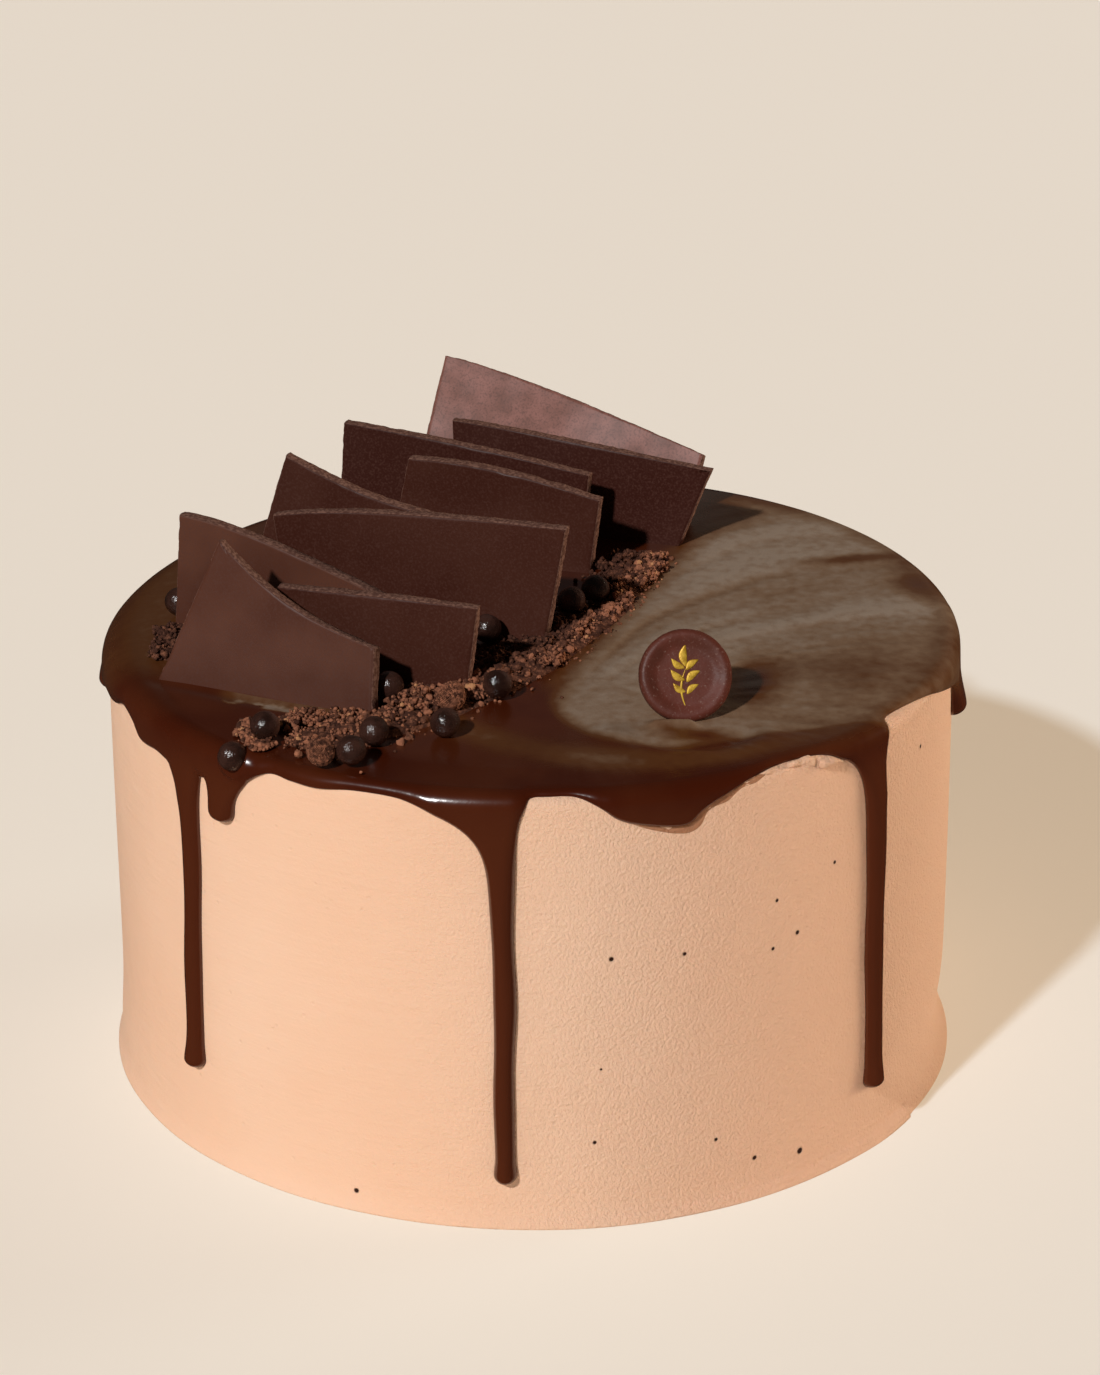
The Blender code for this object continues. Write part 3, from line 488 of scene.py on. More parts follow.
# The lower edge between one drip and the next, from left to right.
RIM_EDGES = [
    [],
    [(-172.0, 78.9), (-166.9, 80.5), (-162.9, 80.8), (-158.0, 83.0), (-154.4, 81.9)]
    + [(-151.5, 79.4), (-147.0, 79.7)],
    [],
    [(-125.1, 85.3), (-121.5, 85.1), (-117.6, 84.9), (-112.9, 85.7), (-108.0, 85.7)]
    + [(-104.9, 84.9)],
    [(-87.6, 87.2), (-84.4, 87.0), (-81.5, 84.9), (-79.0, 82.2), (-75.8, 80.7)]
    + [(-70.4, 79.6), (-67.6, 82.3), (-64.0, 84.7), (-60.7, 86.2), (-55.7, 87.3)]
    + [(-50.0, 86.6)],
    [(-32.2, 87.6), (-24.3, 85.8), (-14.9, 81.8)],
    [(3.0, 82.6), (9.0, 83.2)],
    [(30.0, 84.0), (37.0, 83.2), (43.0, 81.0)],
    [(64.0, 83.4), (72.0, 82.0), (76.0, 82.6)],
    [(97.0, 83.6), (103.0, 83.2)],
    [(127.0, 83.8), (134.0, 82.4), (139.0, 80.4)],
    [(159.0, 82.4)],
]
ROOT_FALL = 4.0  # height over which a flared root narrows
ROUND_MM = 2 * math.pi * CAKE_RADIUS
EDGE_STEP = 0.5


def millimetres_round(angle):
    """Degrees round the side as millimetres."""
    return np.radians(angle) * CAKE_RADIUS


def drip_side(drip, height, side):
    """A drip's side as (millimetres round, reach). Its half width runs from the root's to the
    tip's with the square root of the depth, swells near the end and closes as a half ellipse;
    the flare at the root fades exponentially, and slow waves make the line wander."""
    left, right, root, tip, low, root_half, tip_half = drip
    shoulder = left if side < 0 else right
    depth = np.clip((left[1] - height) / (left[1] - low), 0.0, 1.0)
    middle = millimetres_round(root + (tip - root) * depth)
    middle += 0.22 * np.sin(height / 6.5 + root) * np.sin(math.pi * depth)
    half = root_half + (tip_half - root_half) * np.sqrt(depth)
    half *= 1 + 0.16 * np.exp(-(((height - low - tip_half) / tip_half) ** 2))
    half *= 1 + 0.05 * np.sin(height / 3.7 + 2 * root) * np.sin(math.pi * depth)
    rise = np.clip((height - low) / tip_half, 0.0, 1.0)
    half = half * np.sqrt(1 - (1 - rise) ** 2)
    root_edge = millimetres_round(root) + side * root_half
    spread = millimetres_round(shoulder[0]) - root_edge
    flare = spread * np.exp(-(shoulder[1] - height) / ROOT_FALL)
    return np.stack([middle + side * half + flare, reach_of(height)], axis=-1)


def drip_outline(drip):
    """Down a drip's left side, round its end and up its right side."""
    left, right, low, tip_half = drip[0], drip[1], drip[4], drip[6]
    top = min(left[1], right[1])
    straight = np.linspace(top, low + tip_half, max(round((top - low) / 0.6), 4))
    bead = low + tip_half * (1 - np.sin(np.linspace(0.0, math.pi / 2, 12)))
    down = np.concatenate([straight[:-1], bead])
    sides = []
    for side, shoulder in ((-1, left), (1, right)):
        heights = down if shoulder[1] <= top else np.concatenate([[shoulder[1]], down])
        sides.append(drip_side(drip, heights, side))
    return np.concatenate([sides[0], sides[1][-2::-1]])


def smooth_run(points):
    """A Catmull-Rom curve from the second to the last but one of some points, without its
    two ends."""
    before, start, end, after = points[:-3], points[1:-2], points[2:-1], points[3:]
    t = (np.arange(16) / 16)[:, None, None]
    curve = 2 * start + (end - before) * t
    curve = curve + (2 * before - 5 * start + 4 * end - after) * t**2
    curve = curve + (3 * start - 3 * end + after - before) * t**3
    return np.swapaxes(curve / 2, 0, 1).reshape(-1, 2)[1:]


def even_steps(points, step):
    """A closed line divided again into even steps."""
    closed = np.concatenate([points, points[:1] + [[ROUND_MM, 0.0]]])
    way = np.concatenate([[0.0], np.cumsum(np.hypot(*np.diff(closed, axis=0).T))])
    at = np.linspace(0.0, way[-1], round(way[-1] / step), endpoint=False)
    return np.stack([np.interp(at, way, closed[:, k]) for k in (0, 1)], axis=-1)


def glaze_outline():
    """The glaze's lower edge once round, from left to right, as (millimetres round, reach)."""
    drips = [drip_outline(drip) for drip in DRIPS]
    runs = []
    for k, (drip, edge) in enumerate(zip(drips, RIM_EDGES)):
        onward = drips[(k + 1) % len(drips)][:2]
        if k + 1 == len(drips):
            onward = onward + [ROUND_MM, 0.0]
        between = [(millimetres_round(angle), reach_of(height)) for angle, height in edge]
        between = np.array(between).reshape(-1, 2)
        runs += [drip, smooth_run(np.concatenate([drip[-2:], between, onward]))]
    return even_steps(np.concatenate(runs), EDGE_STEP)


def round_way(distance):
    """The shorter way round, for a difference in millimetres round."""
    return (distance + ROUND_MM / 2) % ROUND_MM - ROUND_MM / 2


SECTORS = 24
DEEP = 12.0  # depth given to places far from the edge


def depth_inside(places, outline):
    """Distance in millimetres from the outline, above 0 inside the glaze and below 0 outside.
    Sector by sector: the nearest point on each nearby stretch of the outline, and the number
    of stretches crossed on the way to the middle, which is even inside."""
    depth = np.full(len(places), DEEP)
    steps = np.roll(outline, -1, axis=0) - outline
    steps[:, 0] = round_way(steps[:, 0])
    width = ROUND_MM / SECTORS
    for sector in range(SECTORS):
        middle = (sector + 0.5) * width
        mine = np.abs(round_way(places[:, 0] - middle)) <= width / 2
        mine = np.flatnonzero(mine & (places[:, 1] > outline[:, 1].min() - DEEP))
        near = np.abs(round_way(outline[:, 0] - middle)) <= width + 1.0
        start, step = outline[near], steps[near]
        offset = places[mine, None] - start
        offset[..., 0] = round_way(offset[..., 0])
        share = np.clip((offset * step).sum(-1) / (step * step).sum(-1), 0.0, 1.0)
        away = offset - share[..., None] * step
        best = np.hypot(away[..., 0], away[..., 1]).min(axis=1)
        crosses = (offset[..., 0] < 0) != (offset[..., 0] < step[:, 0])
        run = np.where(step[:, 0] == 0, 1.0, step[:, 0])
        between = offset[..., 1] > offset[..., 0] * step[:, 1] / run
        outside = (crosses & between).sum(axis=1) % 2 == 1
        depth[mine] = np.minimum(best, DEEP) * np.where(outside, -1.0, 1.0)
    return depth


INSET_ROWS = (0.12, 0.32, 0.62, 1.0, 1.5, 2.1)
RIM_START = 66.0


def glaze_places(outline):
    """The outline, rows of places just inside it, and an even spread over the rest."""
    ahead = np.roll(outline, -1, axis=0) - np.roll(outline, 1, axis=0)
    ahead[:, 0] = round_way(ahead[:, 0])
    inwards = np.stack([ahead[:, 1], -ahead[:, 0]], axis=-1)
    inwards /= np.hypot(*inwards.T)[:, None]
    rows = []
    for k, inset in enumerate(INSET_ROWS):
        row = (outline + inwards * inset)[:: 1 if k < 3 else 2]
        rows.append(row[depth_inside(row, outline) > 0.94 * inset])
    across = np.arange(0.0, ROUND_MM, 0.72)
    over = np.arange(RIM_START, reach_of(8.0), 0.66)
    grid = np.stack(np.meshgrid(across, over), axis=-1)
    grid[1::2, :, 0] += 0.36
    grid = grid.reshape(-1, 2)
    lowest = np.interp(grid[:, 0] % ROUND_MM, *lowest_reach(outline))
    grid = grid[grid[:, 1] < lowest]
    rest = grid[depth_inside(grid, outline) > INSET_ROWS[-1] + 0.45]
    flat = []
    for ring in np.arange(RIM_START - 0.7, 1.0, -0.7):
        count = max(round(2 * math.pi * ring / 0.8), 6)
        turns = (np.arange(count) + 0.5 * (round(ring) % 2)) * ROUND_MM / count
        flat.append(np.stack([turns, np.full(count, ring)], axis=-1))
    return np.concatenate([outline, *rows, rest, *flat, [[0.0, 0.0]]])


def lowest_reach(outline):
    """For steps of 3 mm round the side, the furthest that the outline reaches nearby."""
    step = 3.0
    steps = round(ROUND_MM / step)
    at = (np.arange(steps) + 0.5) * ROUND_MM / steps
    near = np.abs(round_way(at[:, None] - outline[None, :, 0])) < 2 * step
    return at, np.where(near, outline[None, :, 1], 0.0).max(axis=1) + 1.0


def spread_flat(places):
    """Lays the surface out flat for the triangles: the top as it is, and the side as a skirt
    that widens by e for each cake radius of depth, which keeps every small shape true."""
    radius = np.where(
        places[:, 1] > CAKE_RADIUS,
        CAKE_RADIUS * np.exp(places[:, 1] / CAKE_RADIUS - 1),
        places[:, 1],
    )
    turn = places[:, 0] / CAKE_RADIUS
    return np.stack([radius * np.cos(turn), radius * np.sin(turn)], axis=-1)


def fill_outline(places, rim):
    """Triangles between places, inside the closed line that the first of them make."""
    lines = np.stack([np.arange(rim), (np.arange(rim) + 1) % rim], axis=-1)
    points = [Vector(p) for p in spread_flat(places).tolist()]
    filled = delaunay_2d_cdt(points, lines.tolist(), [], 1, 1e-5)
    given = np.array([ids[0] for ids in filled[3]])
    return given[np.array(filled[2])]


STROKE_START = (5.0, -50.0)  # the spatula's strokes fan out from here and bend to the right
STROKE_BEND = 4.2e-4
RIDGE_HEIGHT = 0.22


def spatula_strokes(x, y):
    """Ridges from about -1 to 1 along the strokes. A stroke keeps the angle from its start plus
    the bend times the distance to the power 1.5; the ridges are noise at two sizes, drawn out
    along the strokes and swayed a little by slower noise."""
    aside, ahead = x - STROKE_START[0], y - STROKE_START[1]
    out = np.hypot(aside, ahead)
    stroke = np.arctan2(ahead, aside) + STROKE_BEND * out**1.5
    sway = uneven_plan(x, y, 22.0, 8)
    spot = np.stack([stroke * 80.0 + 3.0 * sway, out / 13.0, 0 * out], axis=-1)
    ridges = 0.9 * uneven(spot, 7.5, 6) + 0.6 * uneven(spot, 2.8, 7)
    return ridges * np.clip((out - 12.0) / 30.0, 0.0, 1.0)


def ease(value, low, high):
    """A value's place between two limits, eased at both ends."""
    share = np.clip((value - low) / (high - low), 0.0, 1.0)
    return share * share * (3 - 2 * share)


def drawn_side(x, y):
    """1 over the right of the top, where the glaze was drawn off, and 0 in front and left."""
    return ease((x * 82.0 - (y + 42.0) * 30.0) / 87.3, -4.0, 9.0)


# Browner places in the dull glaze, and painted shadows: middle, half widths along and across,
# turn, strength.
BROWN_AND_SHADOW_PLACES = [
    (63.0, -30.0, 18.0, 14.0, 60.0, 0.60),
    (65.0, 30.0, 12.0, 2.4, 14.0, 0.8),
    (76.0, 16.0, 8.0, 4.0, 105.0, 0.75),
    (45.0, -62.0, 16.0, 5.0, 28.0, 0.35),
    # Painted shadow cast back by the shards.
    (38.0, 54.0, 14.0, 8.0, 60.0, 0.6),
    # Painted shadow that the coin casts to its right.
    (42.0, -33.0, 12.0, 5.5, 80.0, 1.0),
    (31.0, -58.0, 6.5, 2.8, -8.0, 0.85),
    (24.5, -54.5, 4.0, 1.5, -20.0, 0.4),
]


COIN_FOOT = (28.7, -51.4)
FROSTED_FOOT = ((-55.6, -40.7), (-31.5, -50.0))  # where the foremost shard scraped the glaze


def away_from(x, y, start, end):
    """Distance in plan from a straight run between two places."""
    run = end[0] - start[0], end[1] - start[1]
    share = ((x - start[0]) * run[0] + (y - start[1]) * run[1]) / (run[0] ** 2 + run[1] ** 2)
    share = np.clip(share, 0.0, 1.0)
    return np.hypot(x - start[0] - share * run[0], y - start[1] - share * run[1])


def glaze_bloom_and_sheen(x, y):
    """How dull and pale the top is, from 0, dark and glossy, to 1, pale grey-brown, which is partly
    the set glaze's own dull tone and partly painted sheen: over the drawn side, between an arc in
    front and the rim, with painted sheen as pale streaks along the crests of the strokes."""
    aside, deep = np.minimum(x - 26.0, 0.0), 22.5 - 0.32 * np.maximum(x - 26.0, 0.0)
    front = np.hypot(aside / 21.5, (y + 40.0) / deep)
    front = np.maximum(ease(front, 1.14, 0.90), ease(y, -42.0, -31.0))
    swell = uneven_plan(x, y, 13.0, 9)
    # Paler along the crests of the ridges: painted sheen.
    bloom_and_sheen = drawn_side(x, y) * front * (0.78 + 0.20 * spatula_strokes(x, y) + 0.10 * swell)
    band = np.exp(-(((np.hypot(x - 22.0, y + 18.0) - 50.5) / 4.5) ** 2)) * ease(y, -30.0, -50.0)
    bloom_and_sheen = np.maximum(bloom_and_sheen, (0.36 + 0.16 * swell) * band * ease(x, -34.0, 0.0))
    ragged = ease(uneven_plan(x, y, 1.8, 13), -0.55, 0.2)
    bloom_and_sheen = np.maximum(bloom_and_sheen, 0.95 * ragged * ease(away_from(x, y, *FROSTED_FOOT), 2.0, 0.8))
    behind = (y - FROSTED_FOOT[0][1]) + 0.40 * (x - FROSTED_FOOT[0][0])
    wedge = ease(behind, -0.5, 0.8) * ease(behind, 9.0, 6.0) * ease(x, -60.0, -54.0)
    bloom_and_sheen = np.maximum(bloom_and_sheen, 0.40 * wedge * ease(x, -28.0, -32.0))
    bloom_and_sheen = np.maximum(bloom_and_sheen, 0.30 * ease(x, -52.0, -64.0) * ease(y, -36.0, -18.0))
    # Browner places and painted shadows darken the glaze by taking away its dull tone.
    for place_x, place_y, along, across, turn, strength in BROWN_AND_SHADOW_PLACES:
        aside = (x - place_x) + 1j * (y - place_y)
        aside = aside * np.exp(-1j * math.radians(turn))
        near = np.exp(-((aside.real / along) ** 2) - (aside.imag / across) ** 2)
        bloom_and_sheen = bloom_and_sheen * (1 - strength * near)
    out = np.hypot(x, y)
    over_rim = np.maximum(ease(x, 40.0, 62.0), ease(x, -62.0, -72.0) * ease(y, -38.0, -24.0))
    bloom_and_sheen = bloom_and_sheen * (ease(out, 81.0, 75.0) * (1 - 0.6 * over_rim) + 0.6 * over_rim)
    return np.clip(bloom_and_sheen * ease(out, 93.0, 85.0), 0.0, 1.0)


COIN_WELL = (29.5, -56.0)  # middle of the shallow dip that the coin pressed into the glaze
SUNK_PEARL_ANGLE = -130.3
SUNK_PEARL_REACH = 81.9
# Reaches and thicknesses between which the top falls away to the rim.
TOP_FALL = [(60.0, 72.0, 79.6, 83.4, 88.0), (TOP_GLAZE, 1.25, 0.85, 1.35, RIM_GLAZE)]
FRONT_SHARD_FOOT = ((-72.0, -31.0), (-32.0, -50.5))


def pressed_glaze(x, y):
    """What the garnish did to the soft glaze: a dip with a low bank round its front where the
    coin went in, a lip that climbs the left of its foot, and a groove along the front shard."""
    from_well = np.hypot(x - COIN_WELL[0], (y - COIN_WELL[1]) * 1.35)
    in_front = np.clip((COIN_WELL[1] + 5.0 - y) / 6.0, 0.0, 1.0)
    rise = 0.42 * np.exp(-(((from_well - 14.5) / 3.6) ** 2)) * in_front
    rise = rise - 0.40 * np.exp(-(((from_well - 10.2) / 2.2) ** 2)) * in_front
    foot = [(COIN_FOOT[0] + side, COIN_FOOT[1] - 1.9) for side in (-5.6, 0.4)]
    rise = rise + 1.15 * np.exp(-((away_from(x, y, *foot) / 1.15) ** 2))
    return rise - 0.5 * np.exp(-((away_from(x, y, *FRONT_SHARD_FOOT) / 2.0) ** 2))


def glaze_thickness(places, depth):
    """Thin on top, thicker in the drips and most in their beads, closing round at the edge,
    with slow swells, the ridges and the marks of the garnish on top."""
    reach, turn = places[:, 1], places[:, 0] / CAKE_RADIUS
    height = reach_of(0.0) - reach
    thick = np.interp(reach, TOP_FALL[0], TOP_FALL[1])
    thick += (DRIP_GLAZE - RIM_GLAZE) * np.clip((80.0 - height) / 6.0, 0.0, 1.0)
    for drip in DRIPS:
        aside = round_way(places[:, 0] - millimetres_round(drip[3]))
        near = np.hypot(aside, height - drip[4] - drip[6])
        thick += (BEAD_GLAZE - DRIP_GLAZE) * np.exp(-((near / BEAD_SPREAD) ** 2))
    x, y = reach * np.cos(turn), reach * np.sin(turn)
    on_top = np.clip((CAKE_RADIUS - 2.0 - reach) / 8.0, 0.0, 1.0)
    thick += RIDGE_HEIGHT * spatula_strokes(x, y) * drawn_side(x, y) * on_top
    swell = uneven_plan(x, y, 16.0, 5)
    thick += 0.22 * swell * on_top
    thick += pressed_glaze(x, y) * on_top
    sunk = millimetres_round(SUNK_PEARL_ANGLE), SUNK_PEARL_REACH
    near = np.hypot(round_way(places[:, 0] - sunk[0]), reach - sunk[1])
    thick += 0.7 * np.exp(-(((near - 2.7) / 0.8) ** 2))
    rounding = np.sqrt(1 - (1 - np.clip(depth / EDGE_ROUND, 0.0, 1.0)) ** 2)
    return thick * rounding - EDGE_SINK * (1 - rounding)


def poured_glaze(outline):
    """The outer surface, filled with small triangles and raised off the frosting by the
    glaze's thickness, and an underside between the same edge points, inside the frosting."""
    places = glaze_places(outline)
    outer = fill_outline(places, len(outline))
    under = fill_outline(outline, len(outline))
    depth = depth_inside(places, outline)
    depth[: len(outline)] = 0.0
    point, away = frosting_surface(places[:, 1], places[:, 0] / CAKE_RADIUS)
    point = point + away * glaze_thickness(places, depth)[:, None]
    corner = point[outer[:, 0]], point[outer[:, 1]], point[outer[:, 2]]
    facing = (np.cross(corner[1] - corner[0], corner[2] - corner[0]) * corner[0]).sum()
    if facing < 0:
        outer, under = outer[:, ::-1], under[:, ::-1]
    flat = places[:, 1] * np.exp(1j * places[:, 0] / CAKE_RADIUS)
    return point, [outer, under[:, ::-1]], glaze_bloom_and_sheen(flat.real, flat.imag)


GLAZE_DARK = (0.054, 0.0080, 0.0020, 1.0)
GLAZE_WARM = (0.074, 0.0150, 0.0045, 1.0)
GLAZE_DRIP = (0.078, 0.0165, 0.0050, 1.0)
# Tones of the glaze as it dulls, with painted sheen in the paler ones: share and colour.
DULL_TONES = [
    (0.30, (0.108, 0.036, 0.010, 1.0)),
    (0.62, (0.220, 0.128, 0.073, 1.0)),
    (1.00, (0.325, 0.236, 0.172, 1.0)),
]


def dark_glaze():
    """Dark glaze: glossy and nearly black in front, down the rim and in the drips, and through
    brown to a dull grey-brown where it was drawn off and set, partly painted sheen."""
    material, tree, shader, coords = new_finish("dark_glaze", Specular_IOR_Level=0.45)
    axes = node_in(tree, "SeparateXYZ", {0: coords}).outputs
    drift = effect_in(tree, SLOW_DRIFT, vector=coords, scale=45.0, low=0.35, high=0.65)
    base = blend_in(tree, drift, GLAZE_DARK, GLAZE_WARM)
    base = blend_in(tree, span_in(tree, axes[2], 0.0872, 0.0790), base, GLAZE_DRIP)
    cloud = node_in(tree, "TexNoise", {"Vector": coords, "Scale": 420.0, "Detail": 6.0}).outputs[0]
    bloom_and_sheen = math_in(tree, "MULTIPLY_ADD", cloud, 0.9, 0.55)
    bloom_and_sheen = math_in(tree, "MULTIPLY", measure_in(tree, "bloom_and_sheen"), bloom_and_sheen)
    ramp = node_in(tree, "ValToRGB", {0: bloom_and_sheen})
    stops = ramp.color_ramp.elements
    stops[0].position, stops[0].color = DULL_TONES[0]
    stops[1].position, stops[1].color = DULL_TONES[-1]
    middle = stops.new(DULL_TONES[1][0])
    middle.color = DULL_TONES[1][1]
    colour = blend_in(tree, span_in(tree, bloom_and_sheen, 0.0, DULL_TONES[0][0]), base, ramp.outputs[0])
    tree.links.new(colour, shader.inputs["Base Color"])
    top = span_in(tree, axes[2], 0.0858, 0.0880)
    rough = math_in(tree, "MULTIPLY_ADD", top, 0.05, 0.19)
    rough = math_in(tree, "MULTIPLY_ADD", bloom_and_sheen, 0.35, rough)
    tree.links.new(rough, shader.inputs["Roughness"])
    grain = effect_in(tree, FINE_GRAIN, vector=coords, scale=700.0, fine_share=0.5)
    height = math_in(tree, "MULTIPLY", grain, math_in(tree, "MULTIPLY_ADD", bloom_and_sheen, 0.8, 0.15))
    raise_surface(tree, shader, height, 0.10)
    return material


GLAZE_EDGE = glaze_outline()
glaze_points, glaze_faces, bloom_and_sheen = poured_glaze(GLAZE_EDGE)
glaze = mesh_of("poured_glaze", glaze_points, glaze_faces)
add_measure(glaze, "bloom_and_sheen", bloom_and_sheen)
place_piece(glaze, dark_glaze(), "dark_glaze", "chocolate_glaze")

# Round the side in degrees, width below the edge, rise off the frosting, stain.
EDGE_STRIPS = [(-77.5, -57.0, 2.4, 0.10, 0.9), (-60.0, -45.5, 2.6, 1.5, 0.0)]
# A strip's section: shares of its width below the edge, and of its rise.
STRIP_SECTION = [(0.0, 0.15, 0.4, 0.7, 1.0, 0.5, -0.1), (0.3, 1.0, 1.0, 0.6, -0.05, -0.5, -0.5)]


def edge_strip(outline, start, stop, widest, ridge, seed):
    """A closed strip with ragged width and height, which follows the glaze's lower edge from
    one angle to another and runs out to nothing at both ends."""
    angle = np.degrees(outline[:, 0] / CAKE_RADIUS)
    line = outline[(angle > start) & (angle < stop)]
    ahead = np.gradient(line, axis=0)
    down = np.stack([-ahead[:, 1], ahead[:, 0]], axis=-1)
    down = (down / np.hypot(*down.T)[:, None])[:, None]
    share = np.linspace(0.0, 1.0, len(line))[:, None]
    ends = np.clip(1 - (2 * share - 1) ** 4, 0.0, 1.0)
    across, risen = (np.array(row)[None, :] for row in STRIP_SECTION)
    spot = [line[:, :1] + 0 * across, 3.0 * across + 0 * share, 0 * across * share]
    spot = np.stack(spot, axis=-1)
    width = widest * ends * (0.72 + 0.4 * uneven(spot * (1, 0, 0), 3.2, seed))
    height = ridge * risen * ends * (0.55 + 0.9 * uneven(spot, 1.5, seed + 1))
    height = np.where(risen > 0, height, -0.3)
    place = line[:, None] + down * (width * across)[..., None]
    point, away = frosting_surface(place[..., 1], place[..., 0] / CAKE_RADIUS)
    ring = point + away * height[..., None]
    ring = np.concatenate([ring.reshape(-1, 3), [ring[0].mean(axis=0), ring[-1].mean(axis=0)]])
    return ring, turned_faces(len(line), across.size)


def torn_edge():
    """The lip of frosting that the spatula dragged up under the edge in front, and the thin
    smear of glaze beside it."""
    strips = [edge_strip(GLAZE_EDGE, *spec[:4], 90 + 2 * k) for k, spec in enumerate(EDGE_STRIPS)]
    mesh = mesh_of("torn_edge", *joined(strips))
    stain = [np.full(len(strip[0]), spec[4]) for strip, spec in zip(strips, EDGE_STRIPS)]
    add_measure(mesh, "stain", np.concatenate(stain))
    return mesh


place_piece(torn_edge(), PEACH_FROSTING, "peach_frosting")


# ---------------------------------------------------------------------------------------
# Chocolate shards
# ---------------------------------------------------------------------------------------
# Thin plates of dark chocolate, snapped by hand from a slab that set on a smooth sheet. They
# are pushed into the glaze one behind the other while it is soft. The faces are satin, and
# the snapped edges rough, paler and dusty.

SHARD_THICKNESS = 2.8
SHARD_ROOT = 0.9  # how far the foot goes into the glaze
# Right foot (x, y), turn about +Z, lean back, then in the plate's own plane, from its right
# foot: lower left x, upper left, upper right, lower right x, bow of the top edge and the
# share of the way along at which it bows most, and how pale the face is, partly its dull
# finish and partly painted sheen.
SHARDS = {
    "shard_front": ((-29, -49), -25, 16, -45.4, (-35.4, 27.6), (-1.2, 12.6), 0.0, -2.7, 0.45, 0.75),
    "shard_left": ((-34, -20), -22, 4, -37.6, (-36.6, 23.0), (9.0, 11.6), 9.0, 1.7, 0.4, 0.84),
    "shard_front_right": ((-13, -37), -16, 2, -37.5, (-36.0, 16.8), (3.4, 16.7), 1.2)
    + (0.3, 0.5, 0.3),
    "shard_wide": ((3, -14), -18, 2, -53.0, (-56.0, 19.4), (3.8, 23.4), -0.3, 1.6, 0.4, 0.3),
    "shard_peak": ((-22, 8), -20, 2, -36.5, (-28.2, 26.4), (7.0, 17.4), 7.0, -1.6, 0.5, 0.3),
    "shard_mid": ((11, 22), -18, 2, -42.0, (-37.8, 19.9), (2.7, 15.6), 0.6, 1.5, 0.45, 0.3),
    "shard_mid_back": ((8, 32), -16, 4, -49.6, (-48.4, 23.2), (3.5, 17.0), 2.5, 0.6, 0.5, 0.1),
    "shard_back": ((29, 37), -16, 6, -46.5, (-47.8, 21.8), (7.0, 16.2), 0.7, 0.4, 0.4, 0.1),
    "shard_rear": ((28, 50), -16, 30, -55.5, (-52.5, 30.7), (5.5, 14.8), 3.5, 1.2, 0.4, 1.0),
}
BEVEL = 0.3
FACE_INSET = 0.95  # from the rim to where the even faces begin
FRONT_RINGS = (0.12, 0.35, 0.58, 0.78, 0.92, 1.0)
BACK_RINGS = (1.0, 0.92, 0.78, 0.58, 0.3, 0.1)
# Rings over the snapped edge: share of the thickness, how far inside the line, how rough.
SNAPPED_EDGE = [
    (0.0, BEVEL, 0.12),
    (0.08, 0.06, 0.9),
    (0.32, 0.0, 1.0),
    (0.5, -0.05, 1.0),
    (0.68, 0.0, 1.0),
    (0.92, 0.06, 0.9),
    (1.0, BEVEL, 0.12),
]


def stand_up(points, foot, turn, lean):
    """Stands a plate's points (across, up, towards the viewer) on the glaze."""
    stand = Matrix.Rotation(math.radians(90.0 - lean), 3, "X")
    spin = Matrix.Rotation(math.radians(turn), 3, "Z") @ stand
    return points @ np.array(spin).T + (foot[0], foot[1], GLAZE_TOP)


def shard_line(lower_left, upper_left, upper_right, lower_right, bow, place):
    """Evenly spaced points round the plate, anticlockwise, with the way they face. The top
    edge bows as a half sine wave whose crest is moved to the given share."""
    share = np.linspace(1.0, 0.0, 40)
    lift = bow * np.sin(math.pi * share ** (math.log(0.5) / math.log(place)))
    left, right = np.array(upper_left), np.array(upper_right)
    top = left + (right - left) * share[:, None] + np.stack([0 * lift, lift], axis=-1)
    corners = np.array([(lower_left, -SHARD_ROOT), (lower_right, -SHARD_ROOT)], float)
    closed = np.concatenate([corners, top, corners[:1]])
    way = np.concatenate([[0.0], np.cumsum(np.hypot(*np.diff(closed, axis=0).T))])
    at = np.linspace(0.0, way[-1], round(way[-1] / 0.42), endpoint=False)
    line = np.stack([np.interp(at, way, closed[:, k]) for k in (0, 1)], axis=-1)
    ahead = np.roll(line, -2, axis=0) - np.roll(line, 2, axis=0)
    facing = np.stack([ahead[:, 1], -ahead[:, 0]], axis=-1)
    return line, facing / np.hypot(*facing.T)[:, None]


